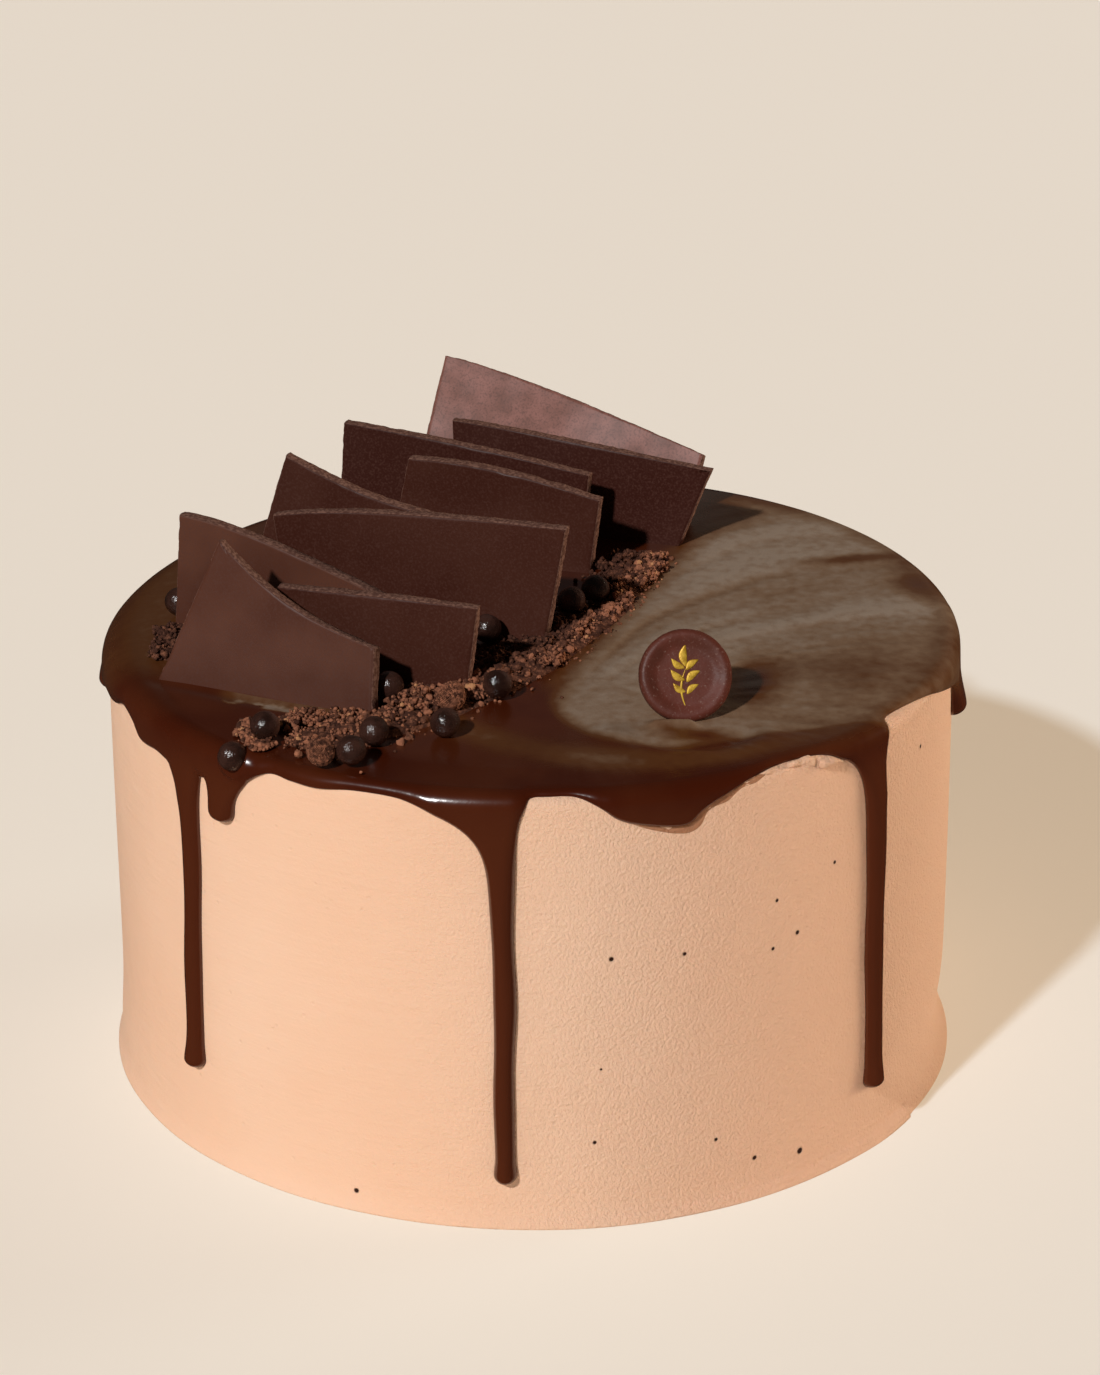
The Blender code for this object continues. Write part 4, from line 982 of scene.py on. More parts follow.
def shard_shape(spec, seed):
    """Rings of points from the middle of the front face out to its rim, over the snapped edge
    and back to the middle of the back face. The edge is broken by noise at three sizes and
    chipped where the coarsest is high; the faces swell a little."""
    foot, turn, lean = spec[:3]
    line, facing = shard_line(*spec[3:9])
    middle = line.mean(axis=0)
    rings, cut = [], []
    reach = np.hypot(*(line - middle).T)[:, None]
    inside = middle + (line - middle) * (1 - FACE_INSET / reach)
    for share in FRONT_RINGS:
        rings.append((middle + (inside - middle) * share, 0.0, 0.0))
    for depth, inset, rough in SNAPPED_EDGE:
        rings.append((line - facing * inset, depth, rough))
    for share in BACK_RINGS:
        rings.append((middle + (inside - middle) * share, 1.0, 0.0))
    points = []
    for ring, depth, rough in rings:
        spot = np.concatenate([ring, np.full((len(ring), 1), -depth * SHARD_THICKNESS)], axis=1)
        size = spot * (1, 1, 1.6)
        rough = rough * np.clip((ring[:, 1] - 0.6) / 1.5, 0.0, 1.0)
        chip = np.clip(uneven(size, 4.3, seed) - 0.45, 0.0, 1.0) * 0.7
        broken = 0.09 * uneven(size, 1.3, seed + 1) + 0.07 * uneven(size, 0.55, seed + 2)
        spot[:, :2] += facing * ((broken - chip - 0.08) * rough)[:, None]
        spot[:, 2] += 0.05 * rough * uneven(size, 0.7, seed + 3)
        flat = np.concatenate([ring, np.zeros((len(ring), 1))], axis=1)
        spot[:, 2] += 0.14 * uneven(flat, 13.0, seed + 4) + 0.03 * uneven(flat, 4.0, seed + 5)
        points.append(spot)
        cut.append(rough)
    ends = [(*middle, 0.0), (*middle, -SHARD_THICKNESS)]
    shape = np.concatenate([*points, ends])
    cut = np.concatenate([*cut, [0.0, 0.0]])
    return stand_up(shape, foot, turn, lean), turned_faces(len(rings), len(line)), cut


SHARD_FACE = (0.0370, 0.0070, 0.0040, 1.0)
SHARD_PALE = (0.1350, 0.0480, 0.0270, 1.0)
SHARD_GRAIN = (0.0900, 0.0360, 0.0260, 1.0)
SHARD_BLOOM_AND_SHEEN = (0.350, 0.145, 0.115, 1.0)
SNAPPED = (0.210, 0.105, 0.075, 1.0)
SNAPPED_DARK = (0.110, 0.048, 0.034, 1.0)


def shard_chocolate():
    """Dark chocolate: satin on the faces, paler and a little bloomed where painted sheen stands in
    for the light a face catches, and rough, dusty and paler where it was snapped."""
    material, tree, shader, coords = new_finish("shard_chocolate", Specular_IOR_Level=0.17)
    cut = span_in(tree, measure_in(tree, "snapped"), 0.1, 0.6)
    pale = measure_in(tree, "pale")
    drift = effect_in(tree, SLOW_DRIFT, vector=coords, scale=55.0, low=0.3, high=0.7)
    # Paleness of a face: partly dull bloom, partly painted sheen.
    haze = math_in(tree, "MULTIPLY", pale, math_in(tree, "MULTIPLY_ADD", drift, 0.45, 0.55))
    face = blend_in(tree, haze, SHARD_FACE, SHARD_PALE)
    mottle = effect_in(tree, SLOW_DRIFT, vector=coords, scale=210.0, low=0.3, high=0.7)
    mottle = math_in(tree, "MULTIPLY_ADD", mottle, 0.6, 0.4)
    bloom_and_sheen = math_in(tree, "MULTIPLY", span_in(tree, pale, 0.85, 1.0), mottle)
    face = blend_in(tree, math_in(tree, "MULTIPLY", bloom_and_sheen, 0.8), face, SHARD_BLOOM_AND_SHEEN)
    fine = node_in(tree, "TexNoise", {"Vector": coords, "Scale": 2300.0}).outputs[0]
    face = blend_in(tree, span_in(tree, fine, 0.42, 0.75, 0.0, 0.6), face, SHARD_GRAIN)
    speckle = node_in(tree, "TexNoise", {"Vector": coords, "Scale": 1500.0}).outputs[0]
    broken = blend_in(tree, span_in(tree, speckle, 0.4, 0.62), SNAPPED_DARK, SNAPPED)
    tree.links.new(blend_in(tree, cut, face, broken), shader.inputs["Base Color"])
    rough = math_in(tree, "MULTIPLY_ADD", drift, 0.10, 0.42)
    rough = math_in(tree, "MULTIPLY_ADD", cut, 0.40, rough)
    tree.links.new(rough, shader.inputs["Roughness"])
    grain = effect_in(tree, FINE_GRAIN, vector=coords, scale=700.0, fine_share=0.6)
    depth = math_in(tree, "MULTIPLY_ADD", cut, 1.0, 0.12)
    raise_surface(tree, shader, math_in(tree, "MULTIPLY", grain, depth), 0.16)
    return material


SHARD_CHOCOLATE = shard_chocolate()
for number, (name, spec) in enumerate(SHARDS.items()):
    points, faces, snapped = shard_shape(spec, 20 + 7 * number)
    mesh = mesh_of(name.replace("shard", "snapped"), points, faces)
    add_measure(mesh, "snapped", snapped)
    add_measure(mesh, "pale", np.full(len(points), spec[9]))
    place_piece(mesh, SHARD_CHOCOLATE, "dark_chocolate", name)


# ---------------------------------------------------------------------------------------
# Cookie crumbs
# ---------------------------------------------------------------------------------------
# Crushed dark cookie, spooned along the feet of the shards and left as it fell: lumps as big
# as a pea, coarse crumbs and sandy grains, with a few bits of lighter biscuit among them.

# The bank follows the feet of the shards: stations are (x, y, half width, height).
BANK_PATH = [
    (-44.5, -59.5, 5.0, 2.6),
    (-35.5, -59.5, 7.0, 4.0),
    (-27.0, -53.0, 6.5, 4.2),
    (-18.0, -45.5, 6.5, 4.6),
    (-7.0, -33.0, 6.0, 3.8),
    (1.5, -22.5, 5.5, 3.4),
    (9.0, -10.0, 4.6, 3.2),
    (15.0, 1.5, 4.2, 2.8),
    (17.0, 12.0, 4.5, 3.0),
    (21.0, 23.0, 5.5, 3.2),
    (25.5, 31.5, 4.0, 2.6),
]
PATCH_PATH = [(-69.5, -21.5, 2.6, 2.2), (-67.5, -15.0, 3.8, 3.2), (-70.0, -8.5, 2.4, 2.6)]
# Crumbs strewn thinly between the bank and the ends of the shards.
STREWN_PATH = [
    (-20.0, -42.0, 4.0, 1.6),
    (-12.5, -33.5, 5.0, 2.0),
    (-5.0, -21.5, 5.5, 2.2),
    (2.0, -10.5, 5.5, 2.2),
    (8.0, 1.0, 4.5, 2.0),
    (13.0, 12.0, 4.5, 2.0),
    (17.5, 23.0, 4.5, 2.2),
    (22.0, 31.0, 4.0, 1.8),
]
FRONT_STREWN_PATH = [(-52.5, -52.0, 1.3, 1.4), (-52.0, -58.0, 1.6, 1.6), (-47.5, -63.5, 1.8, 1.6)]
HEAP_STREWN_PATH = [(-46.0, -53.5, 2.4, 2.2), (-40.0, -52.0, 3.0, 2.8), (-33.5, -53.0, 2.4, 2.6)]
# Outer side of the bank as (y, x); behind this line the crumb is painted darker as the shards'
# shade.
SHARD_SHADE_EDGE = [
    (-28.3, -2.0),
    (-23.5, 2.0),
    (-18.0, 6.0),
    (-10.7, 9.8),
    (-3.7, 12.8),
    (5.5, 17.0),
    (20.0, 20.0),
    (33.0, 26.0),
]
BALL_HOLLOW = (-13.8, -49.0)  # kept clear in front of a coated ball
LONE_GRAINS = [(21.9, 6.0), (5.8, -40.7), (-5.7, -42.5), (-14.3, -56.6)]
LONE_GRAINS += [(-24.4, -65.0), (-30.2, -74.0)]
MOUND_SHARE = 0.5  # of the bank's height that the mound under the crumbs takes


def path_at(path, share):
    """Stations at shares of a path's length, as arrays of x, y, half width and height, and
    the way the path heads there."""
    stations = np.array(path, float)
    runs = np.hypot(*np.diff(stations[:, :2], axis=0).T)
    way = np.concatenate([[0.0], np.cumsum(runs)]) / runs.sum()
    found = np.stack([np.interp(share, way, stations[:, k]) for k in range(4)], axis=-1)
    ahead = [
        np.interp(share + 0.03, way, stations[:, k]) - np.interp(share - 0.03, way, stations[:, k])
        for k in (0, 1)
    ]
    return found, np.arctan2(ahead[1], ahead[0])


def on_bank(path, share, across):
    """Plan places at shares of the path and of its half width to either side, and the
    height of the mound there, which is half an ellipse across and round at its ends."""
    found, heading = path_at(path, share)
    x = found[..., 0] - np.sin(heading) * across * found[..., 2]
    y = found[..., 1] + np.cos(heading) * across * found[..., 2]
    ends = np.sqrt(np.clip(1 - np.abs(2 * share - 1) ** 8, 0.0, 1.0))
    ends = ends * (0.75 + 0.35 * uneven_plan(x, y, 5.5, 60))
    section = np.sqrt(np.clip(1 - (across / 0.95) ** 2, 0.0, 1.0))
    return x, y, found[..., 3] * MOUND_SHARE * section * ends


def crumb_mound(path, length):
    """The close-packed crumb under the loose ones: a low ridge with relief as fine as its
    grains, closed by a flat underside in the glaze."""
    along_count = max(round(length / 0.5), 20)
    share = np.linspace(0.0, 1.0, along_count)[:, None]
    turn = np.linspace(0.0, math.pi, 30)[None, :]
    across = 0.95 * np.cos(turn) * np.sqrt(np.clip(1 - np.abs(2 * share - 1) ** 8, 0.02, 1.0))
    x, y, height = on_bank(path, share + 0 * turn, across)
    spot = np.stack([x, y, height], axis=-1)
    relief = 0.5 * uneven(spot, 2.2, 61) + 0.38 * uneven(spot, 1.0, 62)
    relief = relief + 0.2 * uneven(spot, 0.5, 63)
    low = np.clip(height / 1.2, 0.0, 1.0)
    top = np.stack([x, y, GLAZE_TOP + height + relief * low - 0.3 * (1 - low)], axis=-1)
    under = top[:, [0, -1]] * (1, 1, 0) + (0, 0, GLAZE_TOP - 0.6)
    ring = np.concatenate([top, under[:, ::-1]], axis=1)
    ends = [ring[0].mean(axis=0), ring[-1].mean(axis=0)]
    return np.concatenate([ring.reshape(-1, 3), ends]), turned_faces(*ring.shape[:2])


def ball_template(divisions):
    """Corners and faces of a small ball of even triangles."""
    ball = bmesh.new()
    bmesh.ops.create_icosphere(ball, subdivisions=divisions, radius=1.0)
    corners = np.array([vert.co[:] for vert in ball.verts])
    faces = np.array([[vert.index for vert in face.verts] for face in ball.faces])
    ball.free()
    return corners, faces


def turned_at_random(draw, count):
    """Random rotations as matrices, from even draws on the unit sphere in four dimensions."""
    w, x, y, z = np.moveaxis(draw.normal(size=(count, 4)), 1, 0)
    length = w * w + x * x + y * y + z * z
    rows = [
        [w * w + x * x - y * y - z * z, 2 * (x * y - w * z), 2 * (x * z + w * y)],
        [2 * (x * y + w * z), w * w - x * x + y * y - z * z, 2 * (y * z - w * x)],
        [2 * (x * z - w * y), 2 * (y * z + w * x), w * w - x * x - y * y + z * z],
    ]
    return np.moveaxis(np.array(rows) / length, 2, 0)


def scatter(centres, sizes, divisions, draw, rough):
    """One crumb at each centre: a ball stretched three ways, broken by noise, turned at
    random. Gives the points, the faces and which crumb each point is on."""
    corners, faces = ball_template(divisions)
    count = len(centres)
    stretch = draw.uniform(0.72, 1.2, size=(count, 1, 3))
    shape = corners[None] * stretch
    offset = draw.uniform(-500.0, 500.0, size=(count, 1, 3))
    broken = uneven(shape + offset, 0.62, 71) + 0.7 * uneven(shape + offset, 0.27, 72)
    shape = shape * (1 + rough * broken[..., None])
    shape = np.einsum("nij,nvj->nvi", turned_at_random(draw, count), shape)
    points = shape * np.asarray(sizes)[:, None, None] + np.asarray(centres)[:, None]
    shift = (np.arange(count) * len(corners))[:, None, None]
    owner = np.repeat(np.arange(count), len(corners))
    return points.reshape(-1, 3), (faces[None] + shift).reshape(-1, 3), owner


def shard_shade(points):
    """1 for crumb in the shade of the shards, which is painted darker, 0 outside."""
    edge = np.interp(points[:, 1], *np.array(SHARD_SHADE_EDGE).T)
    return ease(edge - points[:, 0], 0.0, 2.2) * ease(points[:, 1], -36.0, -28.0)


def join_scatters(parts, draw):
    """Joins scattered crumbs, and gives every crumb its own tone from 0 to 1, darkened as painted
    shade under the shards.
    """
    points, faces, tones, first = [], [], [], 0
    for part_points, part_faces, owner in parts:
        points.append(part_points)
        faces.append(part_faces + first)
        tone = draw.uniform(0.0, 1.0, owner.max() + 1)[owner]
        # Crumbs in the shards' shade are painted darker.
        tones.append(tone * (1 - 0.85 * shard_shade(part_points)))
        first += len(part_points)
    return np.concatenate(points), [np.concatenate(faces)], np.concatenate(tones)


def crumbs_on(path, count, size, spread, divisions, draw, rough):
    """Crumbs at random along and across a bank, from its middle out to a share of its half
    width, each sunk a little way into the mound."""
    share = draw.uniform(0.0, 1.0, count)
    across = np.clip(draw.normal(0.0, spread, count), -1.35, 1.35)
    sizes = size[0] + (size[1] - size[0]) * draw.uniform(0.0, 1.0, count) ** 1.6
    x, y, height = on_bank(path, share, np.clip(across, -0.95, 0.95))
    found, heading = path_at(path, share)
    beyond = (across - np.clip(across, -0.95, 0.95)) * found[:, 2]
    x, y = x - np.sin(heading) * beyond, y + np.cos(heading) * beyond
    centres = np.stack([x, y, GLAZE_TOP + np.maximum(height - 0.1, 0.0) + 0.45 * sizes], axis=-1)
    kept = uneven(centres * (1, 1, 0), 3.4, 64) > -0.35 - 1.2 * (np.abs(across) < 0.6)
    kept &= np.hypot(x - BALL_HOLLOW[0], y - BALL_HOLLOW[1]) > 3.2
    centres, sizes = centres[kept], sizes[kept]
    return scatter(centres, sizes, divisions, draw, rough)


def clumps_on(path, count, draw):
    """Clumps of crumb: grains thrown together round centres along the bank, where slow noise
    is high, so that gaps stay between them."""
    x, y, height = on_bank(path, draw.uniform(0.01, 0.99, count), draw.uniform(-0.9, 0.9, count))
    kept = uneven_plan(x, y, 4.2, 66) > -0.2
    kept &= np.hypot(x - BALL_HOLLOW[0], y - BALL_HOLLOW[1]) > 3.6
    centre = np.stack([x, y, GLAZE_TOP + height + 0.55], axis=-1)[kept]
    reach = draw.uniform(0.7, 1.9, len(centre))
    owner = np.repeat(np.arange(len(centre)), (15 * reach**2 + 5).astype(int))
    away = draw.normal(size=(len(owner), 3))
    away /= np.linalg.norm(away, axis=1)[:, None]
    away *= draw.uniform(0.4, 1.0, len(owner))[:, None] * (1, 1, 0.8)
    centres = centre[owner] + away * reach[owner, None]
    return scatter(centres, draw.uniform(0.26, 0.58, len(owner)), 1, draw, 0.3)


def lone_grains(draw):
    """A few grains that jumped out onto the glaze."""
    centres = np.concatenate([LONE_GRAINS, np.full((len(LONE_GRAINS), 1), GLAZE_TOP + 0.1)], axis=1)
    return scatter(centres, draw.uniform(0.3, 0.42, len(centres)), 1, draw, 0.3)


CRUMB_DARK = (0.060, 0.020, 0.011, 1.0)
CRUMB_MID = (0.390, 0.150, 0.080, 1.0)
CRUMB_LIGHT = (0.56, 0.260, 0.120, 1.0)


def cookie_crumb():
    """Dry dark cookie: dull, from near black to brown crumb by crumb, with painted shade in the
    tone, a few of light biscuit, with a sandy grain."""
    constants = {"Roughness": 0.88, "Specular_IOR_Level": 0.25}
    material, tree, shader, coords = new_finish("cookie_crumb", **constants)
    tone = measure_in(tree, "tone")
    noise = node_in(tree, "TexNoise", {"Vector": coords, "Scale": 900.0, "Detail": 3.0})
    speckle = math_in(tree, "MULTIPLY_ADD", noise.outputs[0], 1.5, -0.6)
    patchy = math_in(tree, "MULTIPLY_ADD", tone, 0.85, speckle)
    colour = blend_in(tree, span_in(tree, patchy, 0.1, 0.95), CRUMB_DARK, CRUMB_MID)
    light = span_in(tree, tone, 0.955, 0.975)
    tree.links.new(blend_in(tree, light, colour, CRUMB_LIGHT), shader.inputs["Base Color"])
    grain = effect_in(tree, FINE_GRAIN, vector=coords, scale=1300.0, fine_share=0.7)
    raise_surface(tree, shader, grain, 0.25)
    return material


COOKIE_CRUMB = cookie_crumb()


def crumb_heap(name, path, amount, seed, strewn=()):
    """A mound with lumps, coarse crumbs and grains joined on it, thinning out at its edges."""
    draw = np.random.default_rng(seed)
    length = np.hypot(*np.diff(np.array(path)[:, :2], axis=0).T).sum()
    mound_points, mound_faces = crumb_mound(path, length)
    parts = [
        clumps_on(path, int(100 * amount) + 4, draw),
        crumbs_on(path, int(420 * amount), (0.30, 0.85), 0.5, 2, draw, 0.36),
        crumbs_on(path, int(2400 * amount), (0.16, 0.42), 0.6, 1, draw, 0.34),
    ]
    for stray_path, share in strewn:
        parts.append(clumps_on(stray_path, int(26 * share) + 2, draw))
        parts.append(crumbs_on(stray_path, int(1100 * share), (0.2, 0.7), 0.6, 1, draw, 0.34))
    if strewn:
        parts.append(lone_grains(draw))
    points, faces, tones = join_scatters(parts, draw)
    quads, *caps = mound_faces
    total = len(points)
    faces = [faces[0], quads + total, *(cap + total for cap in caps)]
    points = np.concatenate([points, mound_points])
    # The mound is kept dark as painted shade in the gaps between crumbs, darker still in the
    # shards' shade.
    tones = np.concatenate([tones, 0.12 * (1 - shard_shade(mound_points))])
    mesh = mesh_of("spooned_" + name, points, faces)
    add_measure(mesh, "tone", tones)
    place_piece(mesh, COOKIE_CRUMB, "cookie_crumb", name)


BANK_STREWN = [(STREWN_PATH, 1.0), (FRONT_STREWN_PATH, 0.3), (HEAP_STREWN_PATH, 0.4)]
crumb_heap("crumb_bank", BANK_PATH, 1.0, 11, BANK_STREWN)
crumb_heap("crumb_patch_left", PATCH_PATH, 0.16, 12)


# ---------------------------------------------------------------------------------------
# Crisp pearls and coated balls
# ---------------------------------------------------------------------------------------
# Small balls of puffed cereal, tumbled in dark chocolate until they shine. They lie where
# they rolled, and one has sunk into the soft glaze on the rim. A few others are rolled in
# cookie crumb instead.

PEARL_RADIUS = 2.75
PEARLS = {
    "pearl_front_left": (-48.1, -59.6),
    "pearl_front_right": (-28.2, -62.0),
    "pearl_front_edge": (-32.0, -70.4),
    "pearl_front_far": (-15.4, -58.3),
    "pearl_bank_front": (-6.1, -40.8),
    "pearl_bank_shade": (-26.2, -41.2),
    "pearl_bank_wide": (-8.4, -13.7),
    "pearl_bank_near": (7.9, 0.4),
    "pearl_bank_far": (12.6, 6.4),
    "pearl_left": (-68.4, 0.5),
}
SUNK_PEARL_RISE = 33.0
SUNK_PEARL_SHOWS = 0.4
PEARL_ROWS, PEARL_COLUMNS = 36, 64


def pearl_shape(centre, seed):
    """A ball of rings and columns, a little lumpy, with shallow pits where noise is low."""
    polar = np.linspace(0.0, math.pi, PEARL_ROWS + 2)[1:-1, None]
    turn = np.linspace(0.0, 2 * math.pi, PEARL_COLUMNS, endpoint=False)[None, :]
    ball = np.stack(
        [np.sin(polar) * np.cos(turn), np.sin(polar) * np.sin(turn), np.cos(polar) + 0 * turn],
        axis=-1,
    ).reshape(-1, 3)
    ball = np.concatenate([ball, [(0, 0, 1), (0, 0, -1)]])
    spot = ball * PEARL_RADIUS + 40.0 * seed
    lumps = 0.06 * uneven(spot, 2.1, seed) + 0.035 * uneven(spot, 0.8, seed + 1)
    pits = 0.10 * np.clip(-uneven(spot, 0.9, seed + 2) - 0.5, 0.0, 1.0)
    radius = PEARL_RADIUS + lumps - pits
    return ball * radius[:, None] + centre, turned_faces(PEARL_ROWS, PEARL_COLUMNS)


PEARL_DARK = (0.0200, 0.0080, 0.0055, 1.0)
PEARL_WARM = (0.0500, 0.020, 0.014, 1.0)


def pearl_gloss():
    """Polished dark chocolate with a thin coat that shines, slightly uneven."""
    material, tree, shader, coords = new_finish("pearl_gloss", Specular_IOR_Level=0.6)
    drift = effect_in(tree, SLOW_DRIFT, vector=coords, scale=260.0, low=0.35, high=0.65)
    tree.links.new(blend_in(tree, drift, PEARL_DARK, PEARL_WARM), shader.inputs["Base Color"])
    tree.links.new(math_in(tree, "MULTIPLY_ADD", drift, 0.10, 0.12), shader.inputs["Roughness"])
    grain = effect_in(tree, FINE_GRAIN, vector=coords, scale=1150.0, fine_share=0.45)
    raise_surface(tree, shader, grain, 0.21)
    return material


PEARL_GLOSS = pearl_gloss()
REST = GLAZE_TOP + PEARL_RADIUS + 0.1
for number, (name, (x, y)) in enumerate(PEARLS.items()):
    mesh = mesh_of("crisp_" + name, *pearl_shape((x, y, REST), 80 + 3 * number))
    place_piece(mesh, PEARL_GLOSS, "pearl_chocolate", name)

sunk_turn, sunk_tilt = math.radians(SUNK_PEARL_ANGLE), math.radians(SUNK_PEARL_RISE)
sunk_bend = CAKE_RADIUS - CRISP_ROUND
sunk_arm = CRISP_ROUND + RIM_GLAZE + SUNK_PEARL_SHOWS
sunk_out = sunk_bend + sunk_arm * math.cos(sunk_tilt)
sunk_up = CAKE_TOP - CRISP_ROUND + sunk_arm * math.sin(sunk_tilt)
sunk_centre = (sunk_out * math.cos(sunk_turn), sunk_out * math.sin(sunk_turn), sunk_up)
sunk_mesh = mesh_of("crisp_pearl_rim", *pearl_shape(sunk_centre, 130))
place_piece(sunk_mesh, PEARL_GLOSS, "pearl_chocolate", "pearl_rim")

# Place in plan, radius, and how light the crumb on it is.
COATED_BALLS = {
    "crumb_ball_front": (-37.4, -70.8, 2.75, 0.6),
    "crumb_ball_bank": (-14.6, -46.4, 2.9, 1.0),
}


GRANULES = 850  # on each ball


def coated_ball(x, y, radius, light, seed):
    """A ball under granules that lie in its surface, spread evenly by the golden angle."""
    draw = np.random.default_rng(seed)
    centre = np.array([x, y, GLAZE_TOP + radius])
    core = scatter(centre[None], [0.9 * radius], 3, draw, 0.05)
    step = np.arange(GRANULES)
    up = 1 - 2 * (step + 0.5) / len(step)
    turn = step * math.pi * (3 - math.sqrt(5))
    side = np.sqrt(1 - up * up)
    away = np.stack([side * np.cos(turn), side * np.sin(turn), up], axis=-1)
    sizes = draw.uniform(0.12, 0.24, len(step))
    granules = scatter(centre + away * 0.9 * radius, sizes, 1, draw, 0.25)
    points, faces, tones = join_scatters([core, granules], draw)
    return points, faces, (0.12 + 0.75 * tones) * light


for number, (name, spec) in enumerate(COATED_BALLS.items()):
    points, faces, tones = coated_ball(*spec, 30 + number)
    mesh = mesh_of("rolled_" + name, points, faces)
    add_measure(mesh, "tone", tones)
    place_piece(mesh, COOKIE_CRUMB, "cookie_crumb", name)


# ---------------------------------------------------------------------------------------
# Chocolate coin and its gold leaf sprig
# ---------------------------------------------------------------------------------------
# A cast chocolate coin with a raised round rim, stood in the soft glaze so that it leans
# back. A small leaf sprig is painted on its face in edible gold, thick enough to stand proud.

COIN_RADIUS = 8.6
COIN_THICKNESS = 2.6
COIN_RIM = 1.1  # rounding of its raised rim
COIN_TURN = 4.0
COIN_LEAN = 27.0
COIN_RISE = COIN_RADIUS - 0.3
DISH_DEPTH = 0.75  # how far its face is sunk
DISH_FLOOR = 5.0  # out to which the sunk face is flat


def coin_shape():
    """A turned section: a flat sunken face, a round rim and a flat back, with slight noise."""
    half = COIN_THICKNESS / 2
    turn = np.linspace(0.0, math.pi / 2, 9)
    crest = COIN_RADIUS - COIN_RIM
    face = np.concatenate([[1.5, 3.0, 4.2], np.linspace(DISH_FLOOR, crest, 10)[:-1]])
    share = np.clip((face - DISH_FLOOR) / (crest - DISH_FLOOR), 0.0, 1.0)
    face_height = half - DISH_DEPTH * (1 - share * share * (3 - 2 * share))
    rim = crest + COIN_RIM * np.sin(turn)
    back = COIN_RADIUS - np.array([0.0, 0.12, 0.5, 3.6])
    radius = np.concatenate([face, rim, back])
    rim_height = half - COIN_RIM * (1 - np.cos(turn))
    height = np.concatenate([face_height, rim_height, [0.5 - half, 0.15 - half, -half, -half]])
    turns = np.linspace(0.0, 2 * math.pi, 160, endpoint=False)
    radius, height = radius[:, None], height[:, None]
    points = [radius * np.cos(turns), radius * np.sin(turns), height + 0 * turns]
    points = np.stack(points, axis=-1).reshape(-1, 3)
    points += 0.045 * np.stack([uneven(points, 1.7, 90 + k) for k in range(3)], axis=-1)
    points = np.concatenate([points, [(0, 0, half - DISH_DEPTH), (0, 0, -half)]])
    faces = turned_faces(len(radius), len(turns))
    return stand_up(points + (0, COIN_RISE, 0), COIN_FOOT, COIN_TURN, COIN_LEAN), faces


COIN_FACE = (0.090, 0.0240, 0.0140, 1.0)
COIN_RED = (0.130, 0.029, 0.017, 1.0)
# Pale specks painted in as glints.
COIN_GLINT_SPECK = (0.210, 0.110, 0.085, 1.0)


def coin_chocolate():
    """Reddish brown cast chocolate: drifting redder, with pale specks painted in as glints."""
    material, tree, shader, coords = new_finish("coin_chocolate", Specular_IOR_Level=0.3)
    speckle = node_in(tree, "TexNoise", {"Vector": coords, "Scale": 2100.0}).outputs[0]
    drift = effect_in(tree, SLOW_DRIFT, vector=coords, scale=110.0, low=0.3, high=0.7)
    colour = blend_in(tree, drift, COIN_FACE, COIN_RED)
    # Painted glints: pale specks where fine noise is high.
    colour = blend_in(tree, span_in(tree, speckle, 0.58, 0.8), colour, COIN_GLINT_SPECK)
    tree.links.new(colour, shader.inputs["Base Color"])
    tree.links.new(math_in(tree, "MULTIPLY_ADD", drift, 0.12, 0.46), shader.inputs["Roughness"])
    grain = effect_in(tree, FINE_GRAIN, vector=coords, scale=800.0, fine_share=0.5)
    raise_surface(tree, shader, grain, 0.07)
    return material


coin = mesh_of("cast_coin", *coin_shape())
place_piece(coin, coin_chocolate(), "coin_chocolate", "chocolate_coin")

PAINT_THICKNESS = 0.16
SPRIG_LOW, SPRIG_HIGH = 2.2, 14.2  # heights of its two ends on the coin
LEAF_LENGTH = 3.3
LEAF_WIDTH = 1.35
LEAF_ROWS, LEAF_COLUMNS = 22, 24


def painted_leaf(foot, heading, length, width):
    """A leaf as a closed pillow: its half width is a sine of the way along, drawn to a point,
    and it is thickest along the middle."""
    way = np.linspace(0.0, 1.0, LEAF_ROWS)[:, None]
    turn = np.linspace(0.0, 2 * math.pi, LEAF_COLUMNS, endpoint=False)[None, :]
    half = 0.5 * width * np.sin(math.pi * way**0.85) ** 0.9 + 0.01
    across = half * np.cos(turn)
    up = PAINT_THICKNESS * np.sin(turn) * np.clip(half / 0.25, 0.05, 1.0)
    along_leaf = length * way + 0 * turn
    bend = 0.12 * length * np.sin(math.pi * way)
    x = foot[0] + along_leaf * math.cos(heading) - (across + bend) * math.sin(heading)
    y = foot[1] + along_leaf * math.sin(heading) + (across + bend) * math.cos(heading)
    ring = np.stack([x, y, up], axis=-1)
    ends = np.stack([ring[0].mean(axis=0), ring[-1].mean(axis=0)])
    return np.concatenate([ring.reshape(-1, 3), ends]), turned_faces(LEAF_ROWS, LEAF_COLUMNS)


def gold_sprig():
    """A short stem with one leaf at its top and pairs of leaves down its sides."""
    parts = [painted_leaf((-0.1, SPRIG_LOW), math.radians(88), 7.6, 0.42)]
    parts.append(painted_leaf((0.05, SPRIG_HIGH - 4.3), math.radians(88), 4.2, 1.5))
    for height, scale in ((9.6, 0.92), (7.4, 1.0), (5.2, 0.86)):
        for side in (-1, 1):
            heading = math.radians(90 - side * 52)
            start = (0.12 * side, height - (0.35 if side > 0 else 0.0))
            parts.append(painted_leaf(start, heading, LEAF_LENGTH * scale, LEAF_WIDTH * scale))
    points, faces = joined(parts)
    points = points + (0, 0, COIN_THICKNESS / 2 - DISH_DEPTH + 0.02)
    return stand_up(points, COIN_FOOT, COIN_TURN, COIN_LEAN), faces


